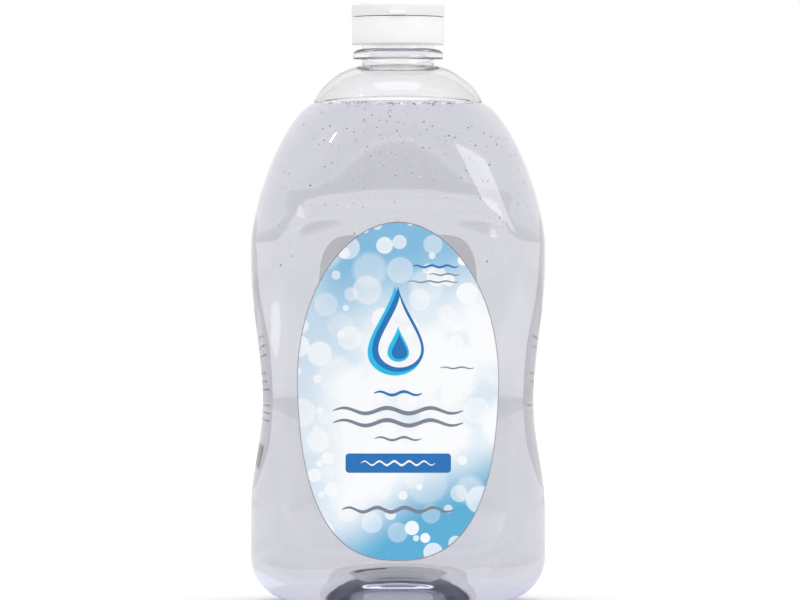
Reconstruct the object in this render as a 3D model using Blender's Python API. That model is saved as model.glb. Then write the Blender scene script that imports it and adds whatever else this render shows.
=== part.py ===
# Refill bottle of clear hand soap with a flip-top screw cap, in metres, +Z up.
# The origin is the middle of the foot on the floor, the front label faces -Y and the lid's hinge is at +Y.
import math

import bmesh
import bpy

# Body of the bottle
BODY_WIDTH = 0.1205
BODY_DEPTH = 0.0905
BODY_EXPONENT = 3.0            # how square the plan is: 2 is an ellipse
WALL = 0.0006
SIDE_HEIGHT = 0.1460           # foot to where the shoulder starts
WAIST_IN = 0.0047              # how far each side draws in at the waist
WAIST_HEIGHT = 0.0825
WAIST_REACH_DOWN = 0.0450
WAIST_REACH_UP = 0.0570

# Foot
HEEL_HEIGHT = 0.0185
HEEL_IN_X = 0.0195
HEEL_IN_Y = 0.0120
STANDING_BAND = 0.0065         # width of the flat ring that the bottle stands on
PUSH_UP_HEIGHT = 0.0155

# Shoulder, and the small dome that carries the neck
SHOULDER_HEIGHT = 0.0578
SHOULDER_TOP_WIDTH = 0.0693
SHOULDER_TOP_DEPTH = 0.0690
SHOULDER_EXPONENT_X = 1.49
SHOULDER_EXPONENT_Y = 2.0
DOME_HEIGHT = 0.0156
DOME_EXPONENT_UP = 1.46
DOME_EXPONENT_OUT = 1.62
CREASE_LIFT = 0.0024           # how much higher the dome's crease runs at the front and back

# Recessed label panels, front and back
PANEL_WIDTH = 0.1000
PANEL_FOOT = 0.0133
PANEL_HEIGHT = 0.1484
PANEL_DEPTH = 0.0011
PANEL_EDGE = 0.11              # slope around the panel, as a share of its half size
PANEL_EXPONENT = 5.0

# Neck
NECK_RADIUS = 0.0146
NECK_WALL = 0.0017
NECK_BELOW_RING = 0.0026
SUPPORT_RING_RADIUS = 0.0185
SUPPORT_RING_RIM = 0.0021       # height of the ring's outer edge
SUPPORT_RING_CROWN = 0.0022     # height of its rounded upper face
SUPPORT_RING_ROUNDING = 0.0007
NECK_FINISH_HEIGHT = 0.0101    # support ring to lip

# Screw thread, on the neck and in the cap
THREAD_PITCH = 0.0042
THREAD_DEPTH = 0.0011
THREAD_ROOT_WIDTH = 0.0014
THREAD_CREST_WIDTH = 0.0007
THREAD_FLANK_GAP = 0.00035
THREAD_CREST_GAP = 0.0004
THREAD_START = 0.0029          # support ring to the middle of the neck thread's lower end
NECK_THREAD_TURNS = 1.10
CAP_THREAD_TURNS = 0.95
THREAD_ROOT_SINK = 0.0004      # how far a thread's root runs into its wall

# Soap
HEADSPACE = 0.0152             # soap's surface to the neck's root

# Labels
LABEL_THICKNESS = 0.00015
FRONT_LABEL_WIDTH = 0.0816
FRONT_LABEL_HEIGHT = 0.1370
FRONT_LABEL_FOOT = 0.0180
FRONT_LABEL_EGG = 0.06         # how much wider the oval is above its middle
FRONT_LABEL_BLUNTNESS = 2.45   # of the lower half's outline: 2 is an ellipse
BACK_LABEL_WIDTH = 0.0550
BACK_LABEL_HEIGHT = 0.1090
BACK_LABEL_FOOT = 0.0410
BACK_LABEL_EXPONENT = 8.0

# Cap
CAP_RADIUS = 0.0189
CAP_ABOVE_RING = 0.0018
CAP_SHELL_WALL = 0.0011
CAP_SKIRT_WALL = 0.0011
CAP_SKIRT_SHORTER = 0.0004
DECK_THICKNESS = 0.0013
GASKET_THICKNESS = 0.0009
GASKET_INNER_RADIUS = 0.0131
SPOUT_RADIUS = 0.0042
SPOUT_HEIGHT = 0.0016
ORIFICE_RADIUS = 0.0030
LID_OVERHANG = 0.0001
LID_HEIGHT = 0.0055
LID_WALL = 0.0012
LID_ROUNDING = 0.0014
PLUG_CLEARANCE = 0.0005
PLUG_REACH = 0.0006            # plug's tip below the deck's top
THUMB_TAB_WIDTH = 0.0070
THUMB_TAB_HEIGHT = 0.0018
THUMB_TAB_OUT = 0.0009
HINGE_WIDTH = 0.0100
HINGE_OUT = 0.0010             # hinge axis behind the cap's outer face
HINGE_LUG_HEIGHT = 0.0020

GAP = 0.0003                   # between pieces that touch

# Fineness of the faceted surfaces
PLAN_POINTS = 44
CAP_POINTS = 48
SIDE_STEPS = 12
HEEL_STEPS = 5
SHOULDER_STEPS = 8
DOME_STEPS = 5
RING_STEPS = 3
PUSH_UP_STEPS = 5
LABEL_POINTS = 36
LABEL_RINGS = 5
THREAD_POINTS_PER_TURN = 24

# Heights that follow from the sizes above
SHOULDER_TOP = SIDE_HEIGHT + SHOULDER_HEIGHT
NECK_ROOT = SHOULDER_TOP + DOME_HEIGHT
RING_BOTTOM = NECK_ROOT + NECK_BELOW_RING
RIM_TOP = RING_BOTTOM + SUPPORT_RING_RIM
RING_TOP = RIM_TOP + SUPPORT_RING_CROWN
LIP = RING_TOP + NECK_FINISH_HEIGHT
CAP_BOTTOM = RING_TOP + CAP_ABOVE_RING
DECK_BOTTOM = LIP + GASKET_THICKNESS + 2 * GAP
DECK_TOP = DECK_BOTTOM + DECK_THICKNESS
LID_BOTTOM = DECK_TOP + GAP
LID_TOP = LID_BOTTOM + LID_HEIGHT
HINGE_HEIGHT = DECK_TOP + GAP / 2
SOAP_LEVEL = NECK_ROOT - HEADSPACE
BORE_RADIUS = NECK_RADIUS - NECK_WALL
THREAD_CREST_RADIUS = NECK_RADIUS + THREAD_DEPTH
CAP_BORE_RADIUS = THREAD_CREST_RADIUS + THREAD_CREST_GAP
PANEL_MIDDLE = PANEL_FOOT + PANEL_HEIGHT / 2


def clear_scene():
    for old in list(bpy.data.objects):
        bpy.data.objects.remove(old, do_unlink=True)


def make_material(name, colour, roughness, metallic=0.0, alpha=1.0):
    material = bpy.data.materials.new(name)
    material.use_nodes = True
    shader = material.node_tree.nodes["Principled BSDF"]
    shader.inputs["Base Color"].default_value = (*colour, 1.0)
    shader.inputs["Roughness"].default_value = roughness
    shader.inputs["Metallic"].default_value = metallic
    shader.inputs["Alpha"].default_value = alpha
    material.diffuse_color = (*colour, alpha)
    return material


def make_object(name, mesh_builder, material, sharp_angle=40):
    mesh_builder.normal_update()
    mesh = bpy.data.meshes.new(name)
    mesh_builder.to_mesh(mesh)
    mesh_builder.free()
    mesh.materials.append(material)
    mesh.shade_smooth()
    mesh.set_sharp_from_angle(angle=math.radians(sharp_angle))
    made = bpy.data.objects.new(name, mesh)
    bpy.context.scene.collection.objects.link(made)
    return made


def move_origin(made, point):
    # The mesh keeps its place while the object's origin goes to the joint's axis.
    for vertex in made.data.vertices:
        vertex.co.x -= point[0]
        vertex.co.y -= point[1]
        vertex.co.z -= point[2]
    made.location = point


def unite(target, extra):
    # A helper solid is joined to its carrier and is no piece of its own.
    extra.hide_render = True
    extra.display_type = "WIRE"
    union = target.modifiers.new("join_" + extra.name, "BOOLEAN")
    union.operation = "UNION"
    union.solver = "EXACT"
    union.object = extra


# Outline of the bottle

def signed_power(value, power):
    return math.copysign(abs(value) ** power, value)


def smooth_step(value):
    value = min(max(value, 0.0), 1.0)
    return value * value * (3 - 2 * value)


def panel_share(x, z):
    # 1 inside a label panel, 0 outside it, and a soft slope between them.
    across = abs(x) / (PANEL_WIDTH / 2)
    along = abs(z - PANEL_MIDDLE) / (PANEL_HEIGHT / 2)
    edge = (across ** PANEL_EXPONENT + along ** PANEL_EXPONENT) ** (1 / PANEL_EXPONENT)
    return smooth_step((1 + PANEL_EDGE / 2 - edge) / PANEL_EDGE)


def waist_draw(z):
    # A raised cosine that reaches further up than down.
    reach = WAIST_REACH_UP if z > WAIST_HEIGHT else WAIST_REACH_DOWN
    share = abs(z - WAIST_HEIGHT) / reach
    if share >= 1:
        return 0.0
    return WAIST_IN * (0.5 + 0.5 * math.cos(math.pi * share))


def plan_exponent(z):
    # The plan turns from squarish at the sides to a circle at the neck's root.
    share = smooth_step((z - SIDE_HEIGHT) / (NECK_ROOT - SIDE_HEIGHT))
    return BODY_EXPONENT + (2.0 - BODY_EXPONENT) * share


def quarter_arc(steps, exponent_up, exponent_out):
    # Shares of the way up and of the way out along a superelliptic quarter, foot to top.
    shares = []
    for step in range(steps + 1):
        turn = math.pi / 2 * step / steps
        shares.append((math.sin(turn) ** (2 / exponent_up), math.cos(turn) ** (2 / exponent_out)))
    return shares


def half_sizes(z):
    # Half width and half depth of the outer outline between the heel and the dome.
    half_width = BODY_WIDTH / 2 - waist_draw(z)
    half_depth = BODY_DEPTH / 2
    if z <= SIDE_HEIGHT:
        return half_width, half_depth
    up = (z - SIDE_HEIGHT) / SHOULDER_HEIGHT
    out_x = (1 - up ** SHOULDER_EXPONENT_X) ** (1 / SHOULDER_EXPONENT_X)
    out_y = (1 - up ** SHOULDER_EXPONENT_Y) ** (1 / SHOULDER_EXPONENT_Y)
    top_width = SHOULDER_TOP_WIDTH / 2
    top_depth = SHOULDER_TOP_DEPTH / 2
    return top_width + (half_width - top_width) * out_x, top_depth + (half_depth - top_depth) * out_y


def outer_stations():
    # Half width, half depth and height of the outer outline, foot to neck root.
    stations = []
    for step in range(HEEL_STEPS):
        turn = math.pi / 2 * step / HEEL_STEPS
        inward = 1 - math.sin(turn)
        z = HEEL_HEIGHT * (1 - math.cos(turn))
        half_width, half_depth = half_sizes(z)
        stations.append((half_width - HEEL_IN_X * inward, half_depth - HEEL_IN_Y * inward, z))
    for step in range(SIDE_STEPS):
        z = HEEL_HEIGHT + (SIDE_HEIGHT - HEEL_HEIGHT) * step / SIDE_STEPS
        stations.append((*half_sizes(z), z))
    for up, _ in quarter_arc(SHOULDER_STEPS, SHOULDER_EXPONENT_X, SHOULDER_EXPONENT_X)[:-1]:
        z = SIDE_HEIGHT + SHOULDER_HEIGHT * up
        stations.append((*half_sizes(z), z))
    for up, out in quarter_arc(DOME_STEPS, DOME_EXPONENT_UP, DOME_EXPONENT_OUT):
        stations.append((
            NECK_RADIUS + (SHOULDER_TOP_WIDTH / 2 - NECK_RADIUS) * out,
            NECK_RADIUS + (SHOULDER_TOP_DEPTH / 2 - NECK_RADIUS) * out,
            SHOULDER_TOP + DOME_HEIGHT * up,
        ))
    return stations


def inset_stations(inset):
    # The outer outline moved inward along its own normal.
    outer = outer_stations()
    moved = []
    for index, (width, depth, z) in enumerate(outer):
        before = outer[max(index - 1, 0)]
        after = outer[min(index + 1, len(outer) - 1)]
        if index == 0:
            normal_x, normal_y, normal_z = 0.0, 0.0, -1.0
        else:
            rise = after[2] - before[2]
            run_x = after[0] - before[0]
            run_y = after[1] - before[1]
            normal_x = rise / math.hypot(rise, run_x)
            normal_y = rise / math.hypot(rise, run_y)
            normal_z = -run_x / math.hypot(rise, run_x)
        moved.append((width - inset * normal_x, depth - inset * normal_y, z - inset * normal_z))
    return moved


def crease_share(z):
    # 1 at the crease under the dome, fading to 0 at the sides' top and at the neck's root.
    if z < SHOULDER_TOP:
        return smooth_step((z - SIDE_HEIGHT) / SHOULDER_HEIGHT)
    return smooth_step((NECK_ROOT - z) / DOME_HEIGHT)


def plan_ring(half_width, half_depth, z, exponent):
    ring = []
    lift = CREASE_LIFT * crease_share(z)
    for index in range(PLAN_POINTS):
        turn = 2 * math.pi * index / PLAN_POINTS
        x = half_width * signed_power(math.cos(turn), 2 / exponent)
        y = half_depth * signed_power(math.sin(turn), 2 / exponent)
        y -= math.copysign(PANEL_DEPTH * panel_share(x, z), y) * min(abs(y) / half_depth * 2, 1)
        ring.append((x, y, z + lift * math.sin(turn) ** 2))
    return ring


def body_rings(inset):
    return [plan_ring(*station, plan_exponent(station[2])) for station in inset_stations(inset)]


def push_up_rings(inset):
    # The dome under the foot, middle to standing band, raised by the inset.
    half_width = BODY_WIDTH / 2 - HEEL_IN_X - STANDING_BAND + inset
    half_depth = BODY_DEPTH / 2 - HEEL_IN_Y - STANDING_BAND + inset
    rings = []
    for step in range(1, PUSH_UP_STEPS + 1):
        share = math.sin(math.pi / 2 * step / PUSH_UP_STEPS)
        z = inset + PUSH_UP_HEIGHT * (1 - share ** 2) ** (1 / 3)
        exponent = 2.0 + (BODY_EXPONENT - 2.0) * share
        rings.append(plan_ring(half_width * share, half_depth * share, z, exponent))
    return rings


def circle_ring(radius, z):
    return plan_ring(radius, radius, z, 2.0)


def loft(rings):
    # Joins each ring to the next with a band of quads and closes both ends.
    builder = bmesh.new()
    loops = [[builder.verts.new(point) for point in ring] for ring in rings]
    for lower, upper in zip(loops, loops[1:]):
        for index in range(len(lower)):
            builder.faces.new((lower[index - 1], lower[index], upper[index], upper[index - 1]))
    builder.faces.new(loops[0])
    builder.faces.new(loops[-1])
    bmesh.ops.recalc_face_normals(builder, faces=builder.faces)
    return builder


def helix_ridge(name, root_radius, crest_radius, start_z, turns, start_turn, material):
    # A trapezoid swept up a right-hand helix, fading into its wall at both ends.
    steps = round(turns * THREAD_POINTS_PER_TURN)
    fade_steps = THREAD_POINTS_PER_TURN / 10
    rings = []
    for step in range(steps + 1):
        turn = 2 * math.pi * (start_turn + turns * step / steps)
        middle = start_z + THREAD_PITCH * turns * step / steps
        fade = smooth_step(min(step, steps - step) / fade_steps)
        crest = root_radius + (crest_radius - root_radius) * max(fade, 0.1)
        corners = (
            (root_radius, -THREAD_ROOT_WIDTH / 2),
            (crest, -THREAD_CREST_WIDTH / 2),
            (crest, THREAD_CREST_WIDTH / 2),
            (root_radius, THREAD_ROOT_WIDTH / 2),
        )
        rings.append([(r * math.cos(turn), r * math.sin(turn), middle + z) for r, z in corners])
    return make_object(name, loft(rings), material)


# Pieces

def make_bottle(material):
    outer_neck = [
        (NECK_RADIUS, RING_BOTTOM),
        (SUPPORT_RING_RADIUS - SUPPORT_RING_ROUNDING, RING_BOTTOM),
        (SUPPORT_RING_RADIUS, RING_BOTTOM + SUPPORT_RING_ROUNDING),
    ]
    for up, out in quarter_arc(RING_STEPS, 2.0, 2.0):
        outer_neck.append((
            NECK_RADIUS + (SUPPORT_RING_RADIUS - NECK_RADIUS) * out,
            RIM_TOP + SUPPORT_RING_CROWN * up,
        ))
    outer_neck.append((NECK_RADIUS, LIP))
    rings = push_up_rings(0.0) + body_rings(0.0)
    rings += [circle_ring(radius, z) for radius, z in outer_neck]
    inside = []
    for width, depth, z in inset_stations(WALL):
        inside.append(plan_ring(max(width, BORE_RADIUS), max(depth, BORE_RADIUS), z, plan_exponent(z)))
    rings += [circle_ring(BORE_RADIUS, LIP), circle_ring(BORE_RADIUS, NECK_ROOT)]
    rings += inside[::-1] + push_up_rings(WALL)[::-1]
    bottle = make_object("bottle", loft(rings), material)
    thread = helix_ridge(
        "neck_thread_guide", NECK_RADIUS - THREAD_ROOT_SINK, THREAD_CREST_RADIUS,
        RING_TOP + THREAD_START, NECK_THREAD_TURNS, 0.0, material,
    )
    unite(bottle, thread)
    return bottle


def level_ring(rings, level):
    # The ring in which the columns of points running up the rings pass through a level.
    cut = []
    for column in zip(*rings):
        for lower, upper in zip(column, column[1:]):
            if lower[2] < level <= upper[2]:
                share = (level - lower[2]) / (upper[2] - lower[2])
                cut.append(tuple(low + (high - low) * share for low, high in zip(lower, upper)))
                break
    return cut


def make_soap(material):
    # Points above the soap's surface slide down their column to it.
    inset = WALL + GAP
    body = body_rings(inset)
    surface = level_ring(body, SOAP_LEVEL)
    filled = []
    for ring in body:
        if min(point[2] for point in ring) < SOAP_LEVEL:
            filled.append([cut if point[2] > SOAP_LEVEL else point for point, cut in zip(ring, surface)])
    builder = loft(push_up_rings(inset) + filled + [surface])
    bmesh.ops.remove_doubles(builder, verts=builder.verts, dist=1e-6)
    bmesh.ops.recalc_face_normals(builder, faces=builder.faces)
    return make_object("liquid_soap", builder, material)


def panel_surface(x, z):
    # How far the outer face of a label panel lies from the bottle's middle plane.
    exponent = plan_exponent(z)
    half_width, half_depth = half_sizes(z)
    depth = half_depth * (1 - (abs(x) / half_width) ** exponent) ** (1 / exponent)
    return depth - PANEL_DEPTH * panel_share(x, z)


def make_label(name, outline, facing, material):
    # A thin skin over its panel: a disc of rings on the inner face, another on the outer face.
    def face_ring(share, lift):
        ring = []
        for index in range(LABEL_POINTS):
            x, z = outline(2 * math.pi * index / LABEL_POINTS, share)
            ring.append((x, facing * (panel_surface(x, z) + lift), z))
        return ring

    shares = [(step + 0.5) / (LABEL_RINGS + 0.5) for step in range(LABEL_RINGS + 1)]
    inner = [face_ring(share, GAP) for share in shares]
    outer = [face_ring(share, GAP + LABEL_THICKNESS) for share in shares]
    return make_object(name, loft(inner + outer[::-1]), material)


def front_outline(turn, share):
    power = 2.0 if math.sin(turn) > 0 else FRONT_LABEL_BLUNTNESS
    across = max(1 - abs(math.sin(turn)) ** power, 0.0) ** (1 / power)
    up = share * math.sin(turn)
    wider = 1 + FRONT_LABEL_EGG * up * (1 - up * up)
    x = share * FRONT_LABEL_WIDTH / 2 * math.copysign(across, math.cos(turn)) * wider
    return x, FRONT_LABEL_FOOT + FRONT_LABEL_HEIGHT / 2 * (1 + up)


def back_outline(turn, share):
    x = share * BACK_LABEL_WIDTH / 2 * signed_power(math.cos(turn), 2 / BACK_LABEL_EXPONENT)
    up = share * signed_power(math.sin(turn), 2 / BACK_LABEL_EXPONENT)
    return x, BACK_LABEL_FOOT + BACK_LABEL_HEIGHT / 2 * (1 + up)


def lathe(name, outline, material):
    # Turns a closed outline of radius and height around the bottle's axis.
    builder = bmesh.new()
    vertices = [builder.verts.new((radius, 0.0, z)) for radius, z in outline]
    edges = [builder.edges.new(pair) for pair in zip(vertices, vertices[1:])]
    if outline[0][0] > 0:
        edges.append(builder.edges.new((vertices[-1], vertices[0])))
    bmesh.ops.spin(
        builder, geom=vertices + edges, cent=(0, 0, 0), axis=(0, 0, 1),
        angle=2 * math.pi, steps=CAP_POINTS, use_duplicate=False,
    )
    bmesh.ops.remove_doubles(builder, verts=builder.verts, dist=1e-6)
    bmesh.ops.recalc_face_normals(builder, faces=builder.faces)
    return make_object(name, builder, material)


def block(name, low, high, material):
    builder = bmesh.new()
    bmesh.ops.create_cube(builder, size=1.0)
    for vertex in builder.verts:
        for axis in range(3):
            vertex.co[axis] = low[axis] if vertex.co[axis] < 0 else high[axis]
    return make_object(name, builder, material)


def make_gasket(material):
    outer = CAP_BORE_RADIUS - THREAD_CREST_GAP
    bottom = LIP + GAP
    top = bottom + GASKET_THICKNESS
    outline = [(GASKET_INNER_RADIUS, bottom), (outer, bottom), (outer, top), (GASKET_INNER_RADIUS, top)]
    return lathe("cap_gasket", outline, material)


def make_cap_base(material):
    shell_inner = CAP_RADIUS - CAP_SHELL_WALL
    skirt_outer = CAP_BORE_RADIUS + CAP_SKIRT_WALL
    skirt_bottom = CAP_BOTTOM + CAP_SKIRT_SHORTER
    outline = [
        (ORIFICE_RADIUS, DECK_BOTTOM),
        (CAP_BORE_RADIUS, DECK_BOTTOM),
        (CAP_BORE_RADIUS, skirt_bottom),
        (skirt_outer, skirt_bottom),
        (skirt_outer, DECK_BOTTOM),
        (shell_inner, DECK_BOTTOM),
        (shell_inner, CAP_BOTTOM),
        (CAP_RADIUS, CAP_BOTTOM),
        (CAP_RADIUS, DECK_TOP),
        (SPOUT_RADIUS, DECK_TOP),
        (SPOUT_RADIUS, DECK_TOP + SPOUT_HEIGHT),
        (ORIFICE_RADIUS, DECK_TOP + SPOUT_HEIGHT),
    ]
    cap = lathe("cap_base", outline, material)
    # The cap's ridge lies under the neck's, a flank gap below it, from the skirt's foot upwards.
    under_neck_thread = RING_TOP + THREAD_START - THREAD_ROOT_WIDTH - THREAD_FLANK_GAP
    ridge_start = skirt_bottom + THREAD_ROOT_WIDTH
    ridge = helix_ridge(
        "cap_thread_guide", CAP_BORE_RADIUS + THREAD_ROOT_SINK, NECK_RADIUS + THREAD_CREST_GAP,
        ridge_start, CAP_THREAD_TURNS, (ridge_start - under_neck_thread) / THREAD_PITCH, material,
    )
    unite(cap, ridge)
    lug = block(
        "cap_hinge_lug_guide",
        (-HINGE_WIDTH / 2, shell_inner, HINGE_HEIGHT - HINGE_LUG_HEIGHT),
        (HINGE_WIDTH / 2, CAP_RADIUS + HINGE_OUT - GAP, DECK_TOP - GAP / 2), material,
    )
    unite(cap, lug)
    return cap


def make_lid(material):
    radius = CAP_RADIUS + LID_OVERHANG
    ceiling = LID_TOP - LID_WALL
    plug = ORIFICE_RADIUS - PLUG_CLEARANCE
    tip = DECK_TOP - PLUG_REACH
    rounding = []
    for step in range(4):
        turn = math.pi / 2 * step / 3
        rounding.append((
            radius - LID_ROUNDING * (1 - math.cos(turn)),
            LID_TOP - LID_ROUNDING * (1 - math.sin(turn)),
        ))
    outline = [
        (0.0, tip),
        (plug, tip),
        (plug, ceiling),
        (radius - LID_WALL, ceiling),
        (radius - LID_WALL, LID_BOTTOM),
        (radius, LID_BOTTOM),
        *rounding,
        (0.0, LID_TOP),
    ]
    lid = lathe("cap_lid", outline, material)
    tab = block(
        "lid_tab_guide",
        (-THUMB_TAB_WIDTH / 2, -radius - THUMB_TAB_OUT, LID_BOTTOM),
        (THUMB_TAB_WIDTH / 2, -radius + LID_WALL / 2, LID_BOTTOM + THUMB_TAB_HEIGHT), material,
    )
    unite(lid, tab)
    lug = block(
        "lid_hinge_lug_guide",
        (-HINGE_WIDTH / 2, radius - LID_WALL, LID_BOTTOM + GAP / 2),
        (HINGE_WIDTH / 2, CAP_RADIUS + HINGE_OUT - GAP, HINGE_HEIGHT + HINGE_LUG_HEIGHT), material,
    )
    unite(lid, lug)
    move_origin(lid, (0.0, CAP_RADIUS + HINGE_OUT, HINGE_HEIGHT))
    return lid


def main():
    clear_scene()
    clear_pet = make_material("clear_pet", (0.90, 0.91, 0.93), 0.05, alpha=0.30)
    soap = make_material("soap", (0.78, 0.77, 0.86), 0.05, alpha=0.60)
    natural_plastic = make_material("natural_plastic", (0.90, 0.90, 0.90), 0.35, alpha=0.85)
    foam = make_material("foam", (0.88, 0.88, 0.86), 0.80)
    front_film = make_material("front_film", (0.45, 0.70, 0.87), 0.30)
    back_film = make_material("back_film", (0.62, 0.60, 0.78), 0.35)

    make_bottle(clear_pet)
    make_soap(soap)
    make_label("front_label", front_outline, -1, front_film)
    make_label("back_label", back_outline, 1, back_film)
    make_gasket(foam)
    make_cap_base(natural_plastic)
    make_lid(natural_plastic)


main()
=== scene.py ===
# Looks for the hand soap refill pack: clear bottle, soap, films, flip-top cap and a plain studio.
# Everything is in metres in the frame's own axes: +Z up, front label towards -Y.
import math

import bmesh
import bpy
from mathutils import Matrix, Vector


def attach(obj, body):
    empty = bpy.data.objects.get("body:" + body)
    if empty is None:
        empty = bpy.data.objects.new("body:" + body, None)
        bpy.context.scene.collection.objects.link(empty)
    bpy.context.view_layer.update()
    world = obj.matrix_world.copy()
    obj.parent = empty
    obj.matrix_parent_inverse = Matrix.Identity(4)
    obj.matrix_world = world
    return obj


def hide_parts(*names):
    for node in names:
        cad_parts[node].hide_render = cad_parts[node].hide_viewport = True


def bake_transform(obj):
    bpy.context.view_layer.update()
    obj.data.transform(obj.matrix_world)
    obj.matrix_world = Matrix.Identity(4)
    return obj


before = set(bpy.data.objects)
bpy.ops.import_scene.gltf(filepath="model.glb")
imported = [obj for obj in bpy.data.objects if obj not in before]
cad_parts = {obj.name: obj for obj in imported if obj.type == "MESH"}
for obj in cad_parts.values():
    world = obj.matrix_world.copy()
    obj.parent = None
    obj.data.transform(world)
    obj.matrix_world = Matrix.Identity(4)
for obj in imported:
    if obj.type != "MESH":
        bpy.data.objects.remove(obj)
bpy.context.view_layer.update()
scene = bpy.context.scene
print("frame loaded,", len(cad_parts), "nodes")


# Helpers for meshes
def smoothStep(value):
    value = min(max(value, 0.0), 1.0)
    return value * value * (3 - 2 * value)


def addObject(name, data):
    made = bpy.data.objects.new(name, data)
    scene.collection.objects.link(made)
    return made


def plainObject(name, builder):
    mesh = bpy.data.meshes.new(name)
    builder.to_mesh(mesh)
    builder.free()
    return addObject(name, mesh)


def meshObject(name, builder, materials, sharpAngle=35):
    bmesh.ops.recalc_face_normals(builder, faces=builder.faces)
    made = plainObject(name, builder)
    for material in materials:
        made.data.materials.append(material)
    made.data.shade_smooth()
    made.data.set_sharp_from_angle(angle=math.radians(sharpAngle))
    return made


def skinRings(builder, rings, closeStart=True, closeEnd=True, slotOf=None):
    # Quads from ring to ring; each end closes on one middle point.
    loops = [[builder.verts.new(point) for point in ring] for ring in rings]
    count = len(loops[0])
    for number, (lower, upper) in enumerate(zip(loops, loops[1:])):
        for index in range(count):
            face = builder.faces.new((lower[index - 1], lower[index], upper[index], upper[index - 1]))
            if slotOf:
                face.material_index = slotOf(number)
    for loop, wanted in ((loops[0], closeStart), (loops[-1], closeEnd)):
        if wanted:
            middle = builder.verts.new([sum(v.co[axis] for v in loop) / count for axis in range(3)])
            for index in range(count):
                builder.faces.new((loop[index - 1], loop[index], middle))
    return loops


def ridePiece(piece, body, slotName, *nodes):
    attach(piece, body)
    if nodes:
        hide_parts(*nodes)


# Helpers for shader trees
def shown(red, green, blue):
    # A colour as a screen shows it, 0 to 255, turned into the shader's linear values.
    linear = []
    for value in (red, green, blue):
        part = value / 255
        linear.append(part / 12.92 if part <= 0.04045 else ((part + 0.055) / 1.055) ** 2.4)
    return tuple(linear)


def newMaterial(name):
    material = bpy.data.materials.new(name)
    material.use_nodes = True
    tree = material.node_tree
    shader = tree.nodes["Principled BSDF"]
    return material, tree, shader


def addNode(tree, kind, **settings):
    node = tree.nodes.new(kind)
    for name, value in settings.items():
        if name.startswith("in_"):
            socket = name[3:]
            node.inputs[int(socket) if socket.isdigit() else socket.replace("_", " ")].default_value = value
        else:
            setattr(node, name, value)
    return node


def objectCoordinates(tree, scale=(1, 1, 1), location=(0, 0, 0)):
    place = addNode(tree, "ShaderNodeTexCoord")
    mapping = addNode(tree, "ShaderNodeMapping", in_Scale=scale, in_Location=location)
    tree.links.new(place.outputs["Object"], mapping.inputs["Vector"])
    return mapping.outputs["Vector"]


def splitCoordinates(tree, vector):
    parts = addNode(tree, "ShaderNodeSeparateXYZ")
    tree.links.new(vector, parts.inputs["Vector"])
    return parts.outputs


def noiseOf(tree, vector, scale, detail=2.0, roughness=0.5, distortion=0.0):
    noise = addNode(tree, "ShaderNodeTexNoise", in_Scale=scale, in_Detail=detail,
                    in_Roughness=roughness, in_Distortion=distortion)
    tree.links.new(vector, noise.inputs["Vector"])
    return noise.outputs["Fac"]


def mapRange(tree, value, low, high, outLow, outHigh, smooth=False):
    node = addNode(tree, "ShaderNodeMapRange")
    node.interpolation_type = "SMOOTHSTEP" if smooth else "LINEAR"
    for name, number in (("From Min", low), ("From Max", high), ("To Min", outLow), ("To Max", outHigh)):
        node.inputs[name].default_value = number
    tree.links.new(value, node.inputs["Value"])
    return node.outputs["Result"]


def maths(tree, operation, first, second=None):
    node = addNode(tree, "ShaderNodeMath", operation=operation)
    for index, value in enumerate((first, second)):
        if value is None:
            continue
        if isinstance(value, (int, float)):
            node.inputs[index].default_value = value
        else:
            tree.links.new(value, node.inputs[index])
    return node.outputs["Value"]


def mixColours(tree, factor, first, second):
    node = addNode(tree, "ShaderNodeMix", data_type="RGBA")
    for socket, value in ((0, factor), (6, first), (7, second)):
        if isinstance(value, (int, float)):
            node.inputs[socket].default_value = value
        elif isinstance(value, tuple):
            node.inputs[socket].default_value = (*value, 1.0)
        else:
            tree.links.new(value, node.inputs[socket])
    return node.outputs[2]


def addBump(tree, shader, height, strength, distance):
    bump = addNode(tree, "ShaderNodeBump", in_Strength=strength, in_Distance=distance)
    tree.links.new(height, bump.inputs["Height"])
    tree.links.new(bump.outputs["Normal"], shader.inputs["Normal"])


def colourFrom(tree, shader, share, first, second):
    tree.links.new(mixColours(tree, share, first, second), shader.inputs["Base Color"])


def roughnessFrom(tree, shader, pattern, low, high, start=0.3, end=0.7):
    tree.links.new(mapRange(tree, pattern, start, end, low, high), shader.inputs["Roughness"])


def fixInputs(shader, **values):
    # Inputs that are the same all over a surface.
    for name, value in values.items():
        shader.inputs[name.replace("_", " ")].default_value = value


# The bottle's shape
bottle = {
    "width": 0.1205, "depth": 0.09046, "squareness": 3.0, "wall": 0.0006,
    "sideHeight": 0.1460, "waistIn": 0.0047, "waistHeight": 0.0825,
    "waistReachDown": 0.0450, "waistReachUp": 0.0570,
    "heelHeight": 0.0185, "heelInX": 0.0195, "heelInY": 0.0120, "standingBand": 0.0065, "pushUp": 0.0155,
    "gateRadius": 0.0026, "gateDrop": 0.0005,
    "shoulderHeight": 0.0578, "shoulderTopWidth": 0.0693, "shoulderTopDepth": 0.0690,
    "shoulderCurveX": 1.49, "shoulderCurveY": 2.0,
    "domeHeight": 0.0156, "domeCurveUp": 1.46, "domeCurveOut": 1.62, "creaseLift": 0.0024,
    "panelWidth": 0.1000, "panelFoot": 0.0133, "panelHeight": 0.1484, "panelDepth": 0.0011,
    "panelEdge": 0.11, "panelSquareness": 5.0,
    "points": 192, "heelSteps": 14, "sideSteps": 84, "shoulderSteps": 34, "domeSteps": 16, "pushUpSteps": 20,
}
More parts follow.
